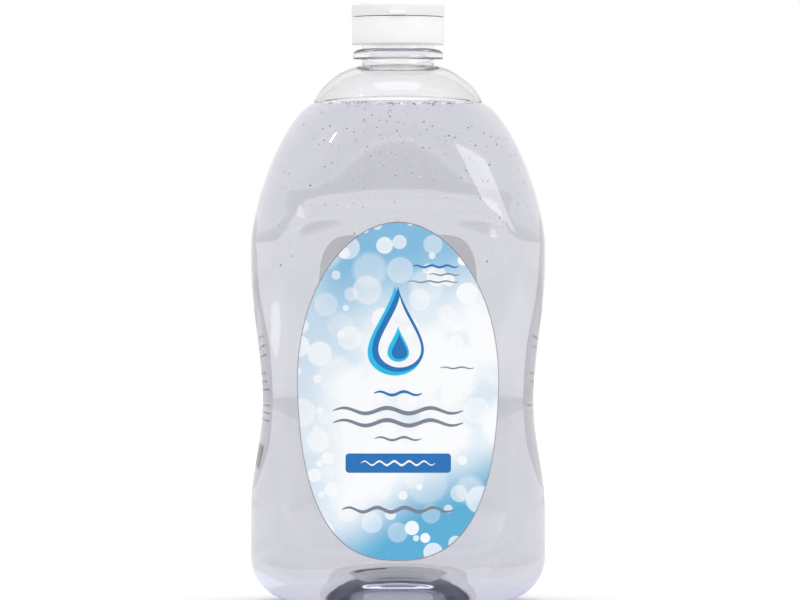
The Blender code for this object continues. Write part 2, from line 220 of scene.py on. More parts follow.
neck = {
    "radius": 0.0146, "wall": 0.0017, "belowRing": 0.0026, "ringRadius": 0.0185, "ringRim": 0.0021,
    "ringCrown": 0.0022, "ringRounding": 0.0007, "finishHeight": 0.0101,
    "pitch": 0.0042, "threadDepth": 0.0011, "threadRoot": 0.0014, "threadCrest": 0.0007,
    "threadStart": 0.0029, "threadTurns": 1.10, "threadStep": 0.00018, "threadFade": 0.1,
    "plainLip": 0.0006, "lipRounding": 0.0005, "fillet": 0.0002,
}
shoulderTop = bottle["sideHeight"] + bottle["shoulderHeight"]
neckRoot = shoulderTop + bottle["domeHeight"]
ringBottom = neckRoot + neck["belowRing"]
rimTop = ringBottom + neck["ringRim"]
ringTop = rimTop + neck["ringCrown"]
lipHeight = ringTop + neck["finishHeight"]
boreRadius = neck["radius"] - neck["wall"]


def waistDraw(z):
    reach = bottle["waistReachUp"] if z > bottle["waistHeight"] else bottle["waistReachDown"]
    share = abs(z - bottle["waistHeight"]) / reach
    return 0.0 if share >= 1 else bottle["waistIn"] * (0.5 + 0.5 * math.cos(math.pi * share))


def planSquareness(z):
    share = smoothStep((z - bottle["sideHeight"]) / (neckRoot - bottle["sideHeight"]))
    return bottle["squareness"] + (2.0 - bottle["squareness"]) * share


def halfSizes(z):
    halfWidth = bottle["width"] / 2 - waistDraw(z)
    halfDepth = bottle["depth"] / 2
    if z <= bottle["sideHeight"]:
        return halfWidth, halfDepth
    up = min((z - bottle["sideHeight"]) / bottle["shoulderHeight"], 1.0)
    curveX, curveY = bottle["shoulderCurveX"], bottle["shoulderCurveY"]
    outX = (1 - up ** curveX) ** (1 / curveX)
    outY = (1 - up ** curveY) ** (1 / curveY)
    topWidth, topDepth = bottle["shoulderTopWidth"] / 2, bottle["shoulderTopDepth"] / 2
    return topWidth + (halfWidth - topWidth) * outX, topDepth + (halfDepth - topDepth) * outY


def panelShare(x, z):
    across = abs(x) / (bottle["panelWidth"] / 2)
    middle = bottle["panelFoot"] + bottle["panelHeight"] / 2
    along = abs(z - middle) / (bottle["panelHeight"] / 2)
    power = bottle["panelSquareness"]
    edge = (across ** power + along ** power) ** (1 / power)
    return smoothStep((1 + bottle["panelEdge"] / 2 - edge) / bottle["panelEdge"])


def creaseShare(z):
    if z < shoulderTop:
        return smoothStep((z - bottle["sideHeight"]) / bottle["shoulderHeight"])
    return smoothStep((neckRoot - z) / bottle["domeHeight"])


def planRing(halfWidth, halfDepth, z, squareness, points=None):
    # Points at even polar angles on the squared-off oval of the plan.
    points = points or bottle["points"]
    ring = []
    lift = bottle["creaseLift"] * creaseShare(z)
    for index in range(points):
        turn = 2 * math.pi * index / points
        cosine, sine = math.cos(turn), math.sin(turn)
        spread = abs(cosine / halfWidth) ** squareness + abs(sine / halfDepth) ** squareness
        reach = spread ** (-1 / squareness)
        x, y = reach * cosine, reach * sine
        towards = min(abs(y) / halfDepth, 1.0)
        y -= math.copysign(bottle["panelDepth"] * panelShare(x, z), y) * min(towards * 2, 1)
        ring.append((x, y, z + lift * towards ** squareness))
    return ring


def outerStations():
    # Half width, half depth and height from the foot to the neck's root.
    stations = []
    for step in range(bottle["heelSteps"]):
        turn = math.pi / 2 * step / bottle["heelSteps"]
        z = bottle["heelHeight"] * (1 - math.cos(turn))
        halfWidth, halfDepth = halfSizes(z)
        inward = 1 - math.sin(turn)
        stations.append((halfWidth - bottle["heelInX"] * inward, halfDepth - bottle["heelInY"] * inward, z))
    for step in range(bottle["sideSteps"]):
        z = bottle["heelHeight"] + (bottle["sideHeight"] - bottle["heelHeight"]) * step / bottle["sideSteps"]
        stations.append((*halfSizes(z), z))
    for step in range(bottle["shoulderSteps"]):
        up = math.sin(math.pi / 2 * step / bottle["shoulderSteps"]) ** (2 / bottle["shoulderCurveX"])
        z = bottle["sideHeight"] + bottle["shoulderHeight"] * up
        stations.append((*halfSizes(z), z))
    for step in range(bottle["domeSteps"] + 1):
        turn = math.pi / 2 * step / bottle["domeSteps"]
        up = math.sin(turn) ** (2 / bottle["domeCurveUp"])
        out = max(math.cos(turn), 0.0) ** (2 / bottle["domeCurveOut"])
        stations.append((
            neck["radius"] + (bottle["shoulderTopWidth"] / 2 - neck["radius"]) * out,
            neck["radius"] + (bottle["shoulderTopDepth"] / 2 - neck["radius"]) * out,
            shoulderTop + bottle["domeHeight"] * up,
        ))
    return stations


def insetStations(inset):
    outer = outerStations()
    moved = []
    for index, (width, depth, z) in enumerate(outer):
        before, after = outer[max(index - 1, 0)], outer[min(index + 1, len(outer) - 1)]
        if index == 0:
            normalX, normalY, normalZ = 0.0, 0.0, -1.0
        else:
            rise, runX, runY = after[2] - before[2], after[0] - before[0], after[1] - before[1]
            normalX = rise / math.hypot(rise, runX)
            normalY = rise / math.hypot(rise, runY)
            normalZ = -runX / math.hypot(rise, runX)
        moved.append((width - inset * normalX, depth - inset * normalY, z - inset * normalZ))
    return moved


def bodyRings(inset):
    return [planRing(*station, planSquareness(station[2])) for station in insetStations(inset)]


def pushUpRings(inset):
    halfWidth = bottle["width"] / 2 - bottle["heelInX"] - bottle["standingBand"] + inset
    halfDepth = bottle["depth"] / 2 - bottle["heelInY"] - bottle["standingBand"] + inset
    rings = []
    for step in range(1, bottle["pushUpSteps"] + 1):
        share = math.sin(math.pi / 2 * step / bottle["pushUpSteps"])
        z = inset + bottle["pushUp"] * max(1 - share ** 2, 0.0) ** (1 / 3)
        z -= bottle["gateDrop"] * smoothStep(2 - 2 * halfWidth * share / bottle["gateRadius"])
        squareness = 2.0 + (bottle["squareness"] - 2.0) * share
        rings.append(planRing(halfWidth * share, halfDepth * share, z, squareness))
    return rings


def circleRing(radius, z, points=bottle["points"]):
    turns = [2 * math.pi * index / points for index in range(points)]
    return [(radius * math.cos(turn), radius * math.sin(turn), z) for turn in turns]


def ridgeHeight(turn, z, startZ, turns, rootWidth, crestWidth, startTurn=0.0):
    # How far a helical ridge stands out at a place on the neck, 0 to 1.
    best = 0.0
    for lap in range(-1, 3):
        along = turn / (2 * math.pi) - startTurn + lap
        if 0 <= along <= turns:
            offset = abs(z - startZ - neck["pitch"] * along)
            flank = (rootWidth / 2 - offset) / ((rootWidth - crestWidth) / 2)
            fade = smoothStep(min(along, turns - along) / neck["threadFade"])
            best = max(best, smoothStep(flank) * fade)
    return best


def threadedNeck():
    rings = []
    height = lipHeight - neck["plainLip"] - ringTop
    steps = round(height / neck["threadStep"])
    for step in range(steps + 1):
        z = ringTop + height * step / steps
        ring = []
        for index in range(bottle["points"]):
            turn = 2 * math.pi * index / bottle["points"]
            ridge = ridgeHeight(turn, z, ringTop + neck["threadStart"], neck["threadTurns"],
                                neck["threadRoot"], neck["threadCrest"])
            radius = neck["radius"] + neck["threadDepth"] * ridge
            ring.append((radius * math.cos(turn), radius * math.sin(turn), z))
        rings.append(ring)
    return rings


def ringProfile():
    # The support ring: a small rounding below, an upright rim and a crowned upper face.
    rounding, fillet = neck["ringRounding"], neck["fillet"]
    profile = [(neck["radius"] + fillet, ringBottom - fillet), (neck["radius"] + 3 * fillet, ringBottom)]
    for step in range(7):
        turn = math.pi / 2 * step / 6
        profile.append((neck["ringRadius"] - rounding + rounding * math.sin(turn),
                        ringBottom + rounding - rounding * math.cos(turn)))
    for step in range(14):
        turn = math.pi / 2 * step / 14
        profile.append((neck["radius"] + (neck["ringRadius"] - neck["radius"]) * math.cos(turn),
                        rimTop + neck["ringCrown"] * math.sin(turn)))
    return profile


def makeBottle(material):
    builder = bmesh.new()
    outer = pushUpRings(0.0) + bodyRings(0.0)
    outer += [circleRing(radius, z) for radius, z in ringProfile()]
    outer += threadedNeck()
    lip = neck["lipRounding"]
    for step in range(5):
        turn = math.pi / 2 * step / 4
        inward, down = lip * (1 - math.cos(turn)), lip * (1 - math.sin(turn))
        outer.append(circleRing(neck["radius"] - inward, lipHeight - down))
    for z in (lipHeight, (lipHeight + neckRoot) / 2, neckRoot + neck["fillet"]):
        outer.append(circleRing(boreRadius, z))
    inner = []
    for width, depth, z in insetStations(bottle["wall"]):
        inner.append(planRing(max(width, boreRadius), max(depth, boreRadius), z, planSquareness(z)))
    skinRings(builder, outer + inner[::-1] + pushUpRings(bottle["wall"])[::-1])
    return meshObject("clearBottle", builder, [material], 50)


# Materials of the bottle and the soap
clearPlastic = {
    "tint": (0.985, 0.988, 0.992), "roughness": 0.012, "index": 1.575,
    "ripple": 0.10, "rippleDepth": 0.0006, "streaks": 55, "haze": 24,
}
soapLook = {
    "tint": (1.0, 1.0, 1.0), "absorb": (0.874, 0.872, 0.904), "density": 30.0, "index": 1.36,
    "swirls": 40, "swirlStrength": 0.02, "swirlDepth": 0.0003,
}


def makeClearPlastic():
    material, tree, shader = newMaterial("blownClearPlastic")
    fixInputs(shader, Base_Color=(*clearPlastic["tint"], 1.0),
              IOR=clearPlastic["index"], Transmission_Weight=1.0)
    streaks = noiseOf(tree, objectCoordinates(tree, scale=(1, 1, 0.35)), clearPlastic["streaks"], 3.0)
    haze = noiseOf(tree, objectCoordinates(tree), clearPlastic["haze"], 4.0)
    roughness = clearPlastic["roughness"]
    roughnessFrom(tree, shader, haze, roughness * 0.4, roughness * 2, 0.35, 0.75)
    addBump(tree, shader, streaks, clearPlastic["ripple"], clearPlastic["rippleDepth"])
    return material


def makeSoapMaterial():
    material, tree, shader = newMaterial("clearSoap")
    fixInputs(shader, Base_Color=(*soapLook["tint"], 1.0),
              IOR=soapLook["index"], Transmission_Weight=1.0, Roughness=0.0)
    absorption = addNode(tree, "ShaderNodeVolumeAbsorption",
                         in_Color=(*soapLook["absorb"], 1.0), in_Density=soapLook["density"])
    tree.links.new(absorption.outputs["Volume"], tree.nodes["Material Output"].inputs["Volume"])
    swirl = noiseOf(tree, objectCoordinates(tree), soapLook["swirls"], 2.0)
    addBump(tree, shader, swirl, soapLook["swirlStrength"], soapLook["swirlDepth"])
    return material


clearBottle = makeBottle(makeClearPlastic())
ridePiece(clearBottle, "bottle", "clear_pet", "bottle")
print("bottle shell made,", len(clearBottle.data.polygons), "faces")


# Soap
soap = {
    "headspace": 0.0157, "sink": 0.00025, "climb": 0.0004, "climbReach": 0.0010, "surfaceRings": 14,
    "edgeSteps": (0.0002, 0.0004, 0.0007, 0.0011, 0.0018), "paintedShadeSteps": 3,
    # the two colours of the painted shade along the soap's edge
    "paintedWaterlineShade": shown(70, 72, 122), "paintedWaterlineShadeFaint": shown(150, 150, 186),
}
soapLevel = neckRoot - soap["headspace"]


def levelRing(rings, level):
    # The line on which a stack of rings crosses a level.
    cut = []
    for column in zip(*rings):
        for lower, upper in zip(column, column[1:]):
            if lower[2] < level <= upper[2]:
                share = (level - lower[2]) / (upper[2] - lower[2])
                cut.append(tuple(low + (high - low) * share for low, high in zip(lower, upper)))
                break
    return cut


def makeSoap(material, waterlineShadeMaterial):
    # The soap reaches a little into the wall, so no air shows between the two.
    inset = bottle["wall"] - soap["sink"]
    body = bodyRings(inset)
    top = soapLevel + soap["climb"]
    edge = levelRing(body, top)
    rings = pushUpRings(inset)
    for ring in body:
        if min(point[2] for point in ring) < top:
            rings.append([cut if point[2] > top else point for point, cut in zip(ring, edge)])
    rings.append(edge)
    edgeStart = len(rings) - 1
    for away in soap["edgeSteps"]:
        z = soapLevel + soap["climb"] * math.exp(-2 * away / soap["climbReach"])
        inward = [1 - away / math.hypot(x, y) for x, y, _ in edge]
        rings.append([(x * share, y * share, z) for (x, y, _), share in zip(edge, inward)])
    outermost = rings[-1]
    for step in range(1, soap["surfaceRings"]):
        share = 1 - step / soap["surfaceRings"]
        rings.append([(x * share, y * share, soapLevel) for x, y, _ in outermost])
    builder = bmesh.new()
    # painted shade: where the soap climbs the wall, a thin dark line of colour stands in for the dark line
    # seen there
    skinRings(builder, rings, slotOf=lambda number: 1 if 0 <= number - edgeStart < soap["paintedShadeSteps"] else 0)
    bmesh.ops.remove_doubles(builder, verts=builder.verts, dist=1e-7)
    return meshObject("soapFill", builder, [material, waterlineShadeMaterial], 60)


def makePaintedWaterlineShade():
    material, tree, shader = newMaterial("soapWaterline")
    # painted shade: a dark, partly clear colour where the soap meets the wall, patchy along its length
    patchy = mapRange(tree, noiseOf(tree, objectCoordinates(tree), 160, 2.0), 0.35, 0.65, 0, 1)
    colourFrom(tree, shader, patchy, soap["paintedWaterlineShade"], soap["paintedWaterlineShadeFaint"])
    fixInputs(shader, Transmission_Weight=0.6, IOR=soapLook["index"], Roughness=0.2)
    return material


soapFill = makeSoap(makeSoapMaterial(), makePaintedWaterlineShade())
ridePiece(soapFill, "bottle", "soap", "liquid_soap")
print("soap filled to", round(soapLevel * 1000, 1), "mm")


# Air bubbles held in the soap, and foam beads along its edge
bubbles = {
    "perArea": 125000.0, "smallest": 0.00018, "largest": 0.00046, "rarity": 2.0, "seed": 11,
    "depth": 0.0022, "foot": 0.128, "belowLevel": 0.001,
    "crowdHeight": 0.192, "crowdReach": 0.020, "crowdAcross": 0.034, "stray": 0.05,
    "dark": shown(158, 158, 186), "pale": shown(222, 223, 236), "paleFrom": 0.65,
}
beads = {
    "gap": 0.00105, "smallest": 0.00024, "largest": 0.00056, "rarity": 1.4, "seed": 5,
    "across": 0.0315, "drop": 0.00085, "jitter": 0.0005, "inward": 0.0008,
    "dark": shown(140, 141, 180), "pale": shown(240, 240, 248), "paleFrom": 0.54,
}


def makeBubbleMaterial(name, look):
    # Air in soap bends light outwards; each bubble's darker colour is painted shade, and its emission a
    # painted glow for the little light in it.
    material, tree, shader = newMaterial(name)
    luck = noiseOf(tree, objectCoordinates(tree), 420, 0.0)
    share = mapRange(tree, luck, look["paleFrom"], look["paleFrom"] + 0.04, 0, 1)
    # painted shade and painted glow: the dark or pale colour is both base colour and emission, with more
    # emission where pale
    for socket in ("Base Color", "Emission Color"):
        tree.links.new(mixColours(tree, share, look["dark"], look["pale"]), shader.inputs[socket])
    tree.links.new(mapRange(tree, share, 0, 1, 0.22, 0.55), shader.inputs["Emission Strength"])
    tree.links.new(mapRange(tree, share, 0, 1, 0.8, 0.1), shader.inputs["Transmission Weight"])
    fixInputs(shader, IOR=1.0 / soapLook["index"], Roughness=0.1)
    return material


def groupInput(tree, name, kind, value=None):
    socket = tree.interface.new_socket(name, in_out="INPUT", socket_type="NodeSocket" + kind)
    if value is not None:
        socket.default_value = value
    return socket.identifier


def bubbleTree(name, alongLine):
    # Small spheres of many sizes, either scattered by the "crowd" attribute or strung along a line.
    tree = bpy.data.node_groups.new(name, "GeometryNodeTree")
    tree.interface.new_socket("Geometry", in_out="OUTPUT", socket_type="NodeSocketGeometry")
    ids = {"Geometry": groupInput(tree, "Geometry", "Geometry")}
    sizes = (("Amount", 1.0), ("Smallest", 0.0002), ("Largest", 0.0005), ("Rarity", 2.0), ("Jitter", 0.0))
    for label, value in sizes:
        ids[label] = groupInput(tree, label, "Float", value)
    ids["Seed"] = groupInput(tree, "Seed", "Int", 1)
    ids["Material"] = groupInput(tree, "Material", "Material")
    given, result = addNode(tree, "NodeGroupInput").outputs, addNode(tree, "NodeGroupOutput")
    link = tree.links.new
    if alongLine:
        line = addNode(tree, "GeometryNodeMeshToCurve")
        link(given["Geometry"], line.inputs["Mesh"])
        places = addNode(tree, "GeometryNodeResampleCurve", mode="LENGTH")
        link(line.outputs["Curve"], places.inputs["Curve"])
        link(given["Amount"], places.inputs["Length"])
        shift = addNode(tree, "FunctionNodeRandomValue", data_type="FLOAT_VECTOR",
                        in_0=(-0.5, -0.5, -1.0), in_1=(0.5, 0.5, 1.0))
        link(given["Seed"], shift.inputs["Seed"])
        offset = addNode(tree, "ShaderNodeVectorMath", operation="SCALE")
        link(shift.outputs[0], offset.inputs[0])
        link(given["Jitter"], offset.inputs["Scale"])
        moved = addNode(tree, "GeometryNodeSetPosition")
        link(places.outputs["Curve"], moved.inputs["Geometry"])
        link(offset.outputs["Vector"], moved.inputs["Offset"])
        points = moved.outputs["Geometry"]
    else:
        crowd = addNode(tree, "GeometryNodeInputNamedAttribute", in_Name="crowd")
        scatter = addNode(tree, "GeometryNodeDistributePointsOnFaces")
        link(given["Geometry"], scatter.inputs["Mesh"])
        link(maths(tree, "MULTIPLY", crowd.outputs["Attribute"], given["Amount"]), scatter.inputs["Density"])
        link(given["Seed"], scatter.inputs["Seed"])
        points = scatter.outputs["Points"]
    luck = addNode(tree, "FunctionNodeRandomValue", data_type="FLOAT")
    link(given["Seed"], luck.inputs["Seed"])
    size = addNode(tree, "ShaderNodeMapRange")
    link(maths(tree, "POWER", luck.outputs[1], given["Rarity"]), size.inputs["Value"])
    link(given["Smallest"], size.inputs["To Min"])
    link(given["Largest"], size.inputs["To Max"])
    ball = addNode(tree, "GeometryNodeMeshUVSphere", in_Segments=8, in_Rings=6, in_Radius=1.0)
    placed = addNode(tree, "GeometryNodeInstanceOnPoints")
    link(points, placed.inputs["Points"])
    link(ball.outputs["Mesh"], placed.inputs["Instance"])
    link(size.outputs["Result"], placed.inputs["Scale"])
    real = addNode(tree, "GeometryNodeRealizeInstances")
    link(placed.outputs["Instances"], real.inputs["Geometry"])
    paint = addNode(tree, "GeometryNodeSetMaterial")
    link(real.outputs["Geometry"], paint.inputs["Geometry"])
    link(given["Material"], paint.inputs["Material"])
    link(paint.outputs["Geometry"], result.inputs["Geometry"])
    return tree, ids


def grownFrom(ground, name, alongLine, values):
    # The tree's result as a plain mesh; the ground and its modifier go.
    tree, ids = bubbleTree(name + "Tree", alongLine)
    modifier = ground.modifiers.new(name, "NODES")
    modifier.node_group = tree
    for label, value in values.items():
        modifier[ids[label]] = value
    evaluated = ground.evaluated_get(bpy.context.evaluated_depsgraph_get())
    mesh = bpy.data.meshes.new_from_object(evaluated)
    bpy.data.objects.remove(ground)
    mesh.shade_smooth()
    made = addObject(name, mesh)
    ridePiece(made, "bottle", "soap")
    return made


def makeBubbles(material):
    # The ground is the front of the soap, a little way in from the wall.
    quarter, top = bottle["points"] // 4, soapLevel - bubbles["belowLevel"]
    rings = [ring for ring in bodyRings(bubbles["depth"])
             if bubbles["foot"] < ring[0][2] and ring[quarter][2] < top]
    builder = bmesh.new()
    loops = [[builder.verts.new(point) for point in ring] for ring in rings]
    for lower, upper in zip(loops, loops[1:]):
        for index in range(len(lower)):
            if lower[index].co.y < 0 and lower[index - 1].co.y < 0:
                builder.faces.new((lower[index - 1], lower[index], upper[index], upper[index - 1]))
    loose = [vertex for vertex in builder.verts if not vertex.link_faces]
    bmesh.ops.delete(builder, geom=loose, context="VERTS")
    ground = plainObject("bubbleGround", builder)
    crowd = ground.data.attributes.new("crowd", "FLOAT", "POINT")
    values = []
    for vertex in ground.data.vertices:
        up = (vertex.co.z - bubbles["crowdHeight"]) / bubbles["crowdReach"]
        across = vertex.co.x / bubbles["crowdAcross"]
        values.append(bubbles["stray"] + math.exp(-up * up - across * across))
    crowd.data.foreach_set("value", values)
    return grownFrom(ground, "airBubbles", False, {
        "Amount": bubbles["perArea"], "Smallest": bubbles["smallest"], "Largest": bubbles["largest"],
        "Rarity": bubbles["rarity"], "Seed": bubbles["seed"], "Material": material})


def makeBeads(material):
    # The beads' line runs just under the soap's edge, front and back.
    builder = bmesh.new()
    ring = levelRing(bodyRings(bottle["wall"] + beads["inward"]), soapLevel - beads["drop"])
    points = [builder.verts.new(point) for point in ring]
    for index in range(len(points)):
        first, second = points[index - 1], points[index]
        if max(abs(first.co.x), abs(second.co.x)) < beads["across"]:
            builder.edges.new((first, second))
    loose = [vertex for vertex in builder.verts if not vertex.link_edges]
    bmesh.ops.delete(builder, geom=loose, context="VERTS")
    return grownFrom(plainObject("beadLine", builder), "foamBeads", True, {
        "Amount": beads["gap"], "Smallest": beads["smallest"], "Largest": beads["largest"],
        "Rarity": beads["rarity"], "Jitter": beads["jitter"], "Seed": beads["seed"], "Material": material})


airBubbles = makeBubbles(makeBubbleMaterial("airBubble", bubbles))
foamBeads = makeBeads(makeBubbleMaterial("foamBead", beads))
print("bubbles made,", len(airBubbles.data.polygons), "and", len(foamBeads.data.polygons), "faces")


# Label films
frontLabel = {
    "width": 0.0816, "height": 0.1370, "foot": 0.0180, "egg": 0.06, "bluntness": 2.45,
    "rings": 34, "points": 160,
}
backLabel = {
    "width": 0.0550, "height": 0.1090, "foot": 0.0410, "squareness": 8.0, "rings": 30, "points": 160,
}
film = {"proud": 0.000087, "sunk": -0.00012, "edgeLean": 0.9985}


def panelSurface(x, z):
    squareness = planSquareness(z)
    halfWidth, halfDepth = halfSizes(z)
    depth = halfDepth * (1 - (abs(x) / halfWidth) ** squareness) ** (1 / squareness)
    return depth - bottle["panelDepth"] * panelShare(x, z)


def frontOutline(turn, share):
    power = 2.0 if math.sin(turn) > 0 else frontLabel["bluntness"]
    across = max(1 - abs(math.sin(turn)) ** power, 0.0) ** (1 / power)
    up = share * math.sin(turn)
    wider = 1 + frontLabel["egg"] * up * (1 - up * up)
    x = share * frontLabel["width"] / 2 * math.copysign(across, math.cos(turn)) * wider
    return x, frontLabel["foot"] + frontLabel["height"] / 2 * (1 + up)


def signedPower(value, power):
    return math.copysign(abs(value) ** power, value)


def backOutline(turn, share):
    power = 2 / backLabel["squareness"]
    x = share * backLabel["width"] / 2 * signedPower(math.cos(turn), power)
    up = share * signedPower(math.sin(turn), power)
    return x, backLabel["foot"] + backLabel["height"] / 2 * (1 + up)


def makeLabel(name, sizes, outline, facing, materials):
    # The film's inner face lies in the wall, as glued film does, and its outer face stands proud.
    shares = [(step + 0.4) / (sizes["rings"] + 0.4) for step in range(sizes["rings"] + 1)]
    layers = [(share, film["sunk"]) for share in shares]
    turnOver = len(layers) - 1
    layers += [(share * film["edgeLean"], film["proud"]) for share in shares[::-1]]
    rings = []
    for share, lift in layers:
        ring = []
        for index in range(sizes["points"]):
            x, z = outline(2 * math.pi * (index + 0.5) / sizes["points"], share)
            ring.append((x, facing * (panelSurface(x, z) + lift), z))
        rings.append(ring)
    builder = bmesh.new()
    loops = skinRings(builder, rings, slotOf=lambda number: 1 if number < turnOver else 0)
    for vertex in loops[0]:
        for face in vertex.link_faces:
            if len(face.verts) == 3:
                face.material_index = 1
    made = meshObject(name, builder, materials, 40)
    rim = made.data.attributes.new("rimShare", "FLOAT", "POINT")
    values = [share for share, _ in layers for _ in range(sizes["points"])]
    values += [0.0] * (len(made.data.vertices) - len(values))
    rim.data.foreach_set("value", values)
    return made


# Prints
frontPrint = {
    "skyBlue": shown(126, 186, 222), "deepBlue": shown(84, 172, 211), "paleBlue": shown(206, 226, 241),
    "white": shown(252, 253, 254), "inkBlue": shown(0, 112, 186), "inkCyan": shown(0, 190, 236),
    "inkGrey": shown(120, 132, 146), "rim": shown(148, 140, 148), "rimFrom": 0.990, "rimTo": 0.9965,
    "insideLight": shown(204, 210, 240), "insideShade": shown(110, 122, 196), "insideFade": (0.03, 0.08),
    "roughness": 0.24, "middle": 0.0900,
    # in centimetres from the middle: lean, drift, where the colour starts and where it is full
    "high": (0.35, 3.2, 2.4, 7.2), "low": (0.45, 2.6, 5.0, 7.6), "side": (1.0, 2.0, 3.0, 4.8),
    # per layer of discs: number per cm, smallest and largest radius, softness of the edge,
    # weakest and strongest opacity, share left out, turn and shift of the layer
    "discs": (
        (0.42, 0.20, 0.36, 0.060, 0.20, 0.55, 0.20, 0.35, 3.1),
        (0.62, 0.20, 0.36, 0.030, 0.25, 0.80, 0.35, 1.10, 7.7),
        (0.80, 0.18, 0.36, 0.022, 0.40, 1.00, 0.50, 2.05, 12.4),
        (1.15, 0.18, 0.34, 0.022, 0.55, 1.00, 0.74, 0.70, 21.3),
        (1.70, 0.18, 0.32, 0.030, 0.70, 1.00, 0.90, 2.60, 33.9),
    ),
}
backPrint = {
    "paper": shown(232, 240, 247), "band": shown(96, 160, 204), "line": shown(150, 168, 186),
    "insideLight": shown(252, 252, 255), "insideShade": shown(240, 240, 252), "insideFade": (0.04, 0.15),
    "rimFrom": 0.985, "rimTo": 0.995, "fadeFoot": 0.045, "fadeTop": 0.085,
}


def softDiscs(tree, plane, settings):
    # One layer of round soft discs, each with its own size and opacity; some places stay empty.
    scale, smallest, largest, edge, weakest, strongest, leftOut, turn, shift = settings
    mapping = addNode(tree, "ShaderNodeMapping",
                      in_Rotation=(0, 0, turn), in_Location=(shift, shift * 0.37, 0))
    tree.links.new(plane, mapping.inputs["Vector"])
    cells = addNode(tree, "ShaderNodeTexVoronoi", voronoi_dimensions="2D", in_Scale=scale, in_Randomness=0.36)
    tree.links.new(mapping.outputs["Vector"], cells.inputs["Vector"])
    luck = addNode(tree, "ShaderNodeSeparateColor")
    tree.links.new(cells.outputs["Color"], luck.inputs["Color"])
    radius = mapRange(tree, luck.outputs["Red"], 0, 1, smallest, largest)
    inside = maths(tree, "SUBTRACT", radius, cells.outputs["Distance"])
    disc = mapRange(tree, inside, -edge, edge, 0, 1, smooth=True)
    rimGlow = mapRange(tree, inside, edge, edge * 4, 1.0, 0.93, smooth=True)   # brighter at its rim
    opacity = mapRange(tree, luck.outputs["Green"], 0, 1, weakest, strongest)
    present = maths(tree, "GREATER_THAN", luck.outputs["Blue"], leftOut)
    shape = maths(tree, "MULTIPLY", disc, rimGlow)
    return maths(tree, "MULTIPLY", shape, maths(tree, "MULTIPLY", opacity, present))


def printEdge(tree, colour, look):
    # The film's outermost share is drawn as a thin grey line.
    rim = addNode(tree, "ShaderNodeAttribute", attribute_name="rimShare")
    share = mapRange(tree, rim.outputs["Fac"], look["rimFrom"], look["rimTo"], 0, 1)
    return mixColours(tree, share, colour, frontPrint["rim"])


def makeFrontPrint():
    material, tree, shader = newMaterial("printedFrontFilm")
    perCm = 100
    parts = splitCoordinates(tree, objectCoordinates(tree, scale=(perCm,) * 3,
                                                     location=(0, 0, -frontPrint["middle"] * perCm)))
    across, up = parts["X"], parts["Z"]
    flat = addNode(tree, "ShaderNodeCombineXYZ")
    tree.links.new(across, flat.inputs["X"])
    tree.links.new(up, flat.inputs["Y"])
    plane = flat.outputs["Vector"]
    drift = noiseOf(tree, plane, 0.16, 1.5, 0.45)

    def field(settings, upShare, acrossShare, full=1.0):
        lean, drifting, start, end = settings
        tilt = maths(tree, "ADD", maths(tree, "MULTIPLY", up, upShare),
                     maths(tree, "MULTIPLY", across, acrossShare * lean))
        moved = maths(tree, "ADD", tilt, maths(tree, "MULTIPLY", drift, drifting))
        return mapRange(tree, moved, start, end, 0, full, smooth=True)

    # blue from above and from below, with a white middle between the two
    cloud = mapRange(tree, noiseOf(tree, plane, 0.42, 2.0, 0.45), 0.50, 0.72, 0, 0.7, smooth=True)
    colour = mixColours(tree, cloud, frontPrint["white"], frontPrint["paleBlue"])
    colour = mixColours(tree, field(frontPrint["high"], 1, -1), colour, frontPrint["skyBlue"])
    colour = mixColours(tree, field(frontPrint["low"], -1, 1), colour, frontPrint["deepBlue"])
    colour = mixColours(tree, field(frontPrint["side"], 0, -1, 0.8), colour, frontPrint["paleBlue"])
    for settings in frontPrint["discs"]:
        colour = mixColours(tree, softDiscs(tree, plane, settings), colour, frontPrint["white"])
    tree.links.new(printEdge(tree, colour, frontPrint), shader.inputs["Base Color"])
    grain, roughness = noiseOf(tree, objectCoordinates(tree), 900, 2.0), frontPrint["roughness"]
    roughnessFrom(tree, shader, grain, roughness * 0.85, roughness * 1.2)
    addBump(tree, shader, noiseOf(tree, objectCoordinates(tree), 70, 2.0), 0.06, 0.0003)
    return material


def makeBackPrint():
    material, tree, shader = newMaterial("printedBackFilm")
    place = objectCoordinates(tree)
    height = splitCoordinates(tree, place)["Z"]
    fade = mapRange(tree, height, backPrint["fadeFoot"], backPrint["fadeTop"], 1, 0, smooth=True)
    cloud = mapRange(tree, noiseOf(tree, place, 30, 1.0), 0.3, 0.7, 0.5, 1.0)
    share = maths(tree, "MULTIPLY", fade, cloud)
    colour = mixColours(tree, share, backPrint["paper"], frontPrint["paleBlue"])
    tree.links.new(printEdge(tree, colour, backPrint), shader.inputs["Base Color"])
    fixInputs(shader, Roughness=0.28)
    addBump(tree, shader, noiseOf(tree, place, 70, 2.0), 0.06, 0.0003)
    return material


def makeFilmInside(name, look):
    # The film's glued side, seen through the bottle: print showing through white film.
    material, tree, shader = newMaterial(name)
    place = objectCoordinates(tree)
    cloud = mapRange(tree, noiseOf(tree, place, 38, 2.0), 0.3, 0.7, 0.7, 1.0)
    height = mapRange(tree, splitCoordinates(tree, place)["Z"], *look["insideFade"], 0, 1, smooth=True)
    colourFrom(tree, shader, maths(tree, "MULTIPLY", cloud, height), look["insideShade"], look["insideLight"])
    # thin white film lets daylight through, so seen from inside it glows
    fixInputs(shader, Roughness=0.55,
              Subsurface_Weight=1.0, Subsurface_Radius=(1.0, 1.0, 1.0), Subsurface_Scale=0.0045)
    addBump(tree, shader, noiseOf(tree, place, 300, 2.0), 0.05, 0.0002)
    return material


def makeInk(name, colour, roughness=0.3):
    material, tree, shader = newMaterial(name)
    patchy = noiseOf(tree, objectCoordinates(tree), 260, 3.0)
    darker = tuple(value * 0.93 for value in colour)
    share = mapRange(tree, patchy, 0.35, 0.65, 0, 1)
    colourFrom(tree, shader, share, darker, colour)
    roughnessFrom(tree, shader, patchy, roughness * 0.9, roughness * 1.1)
    return material


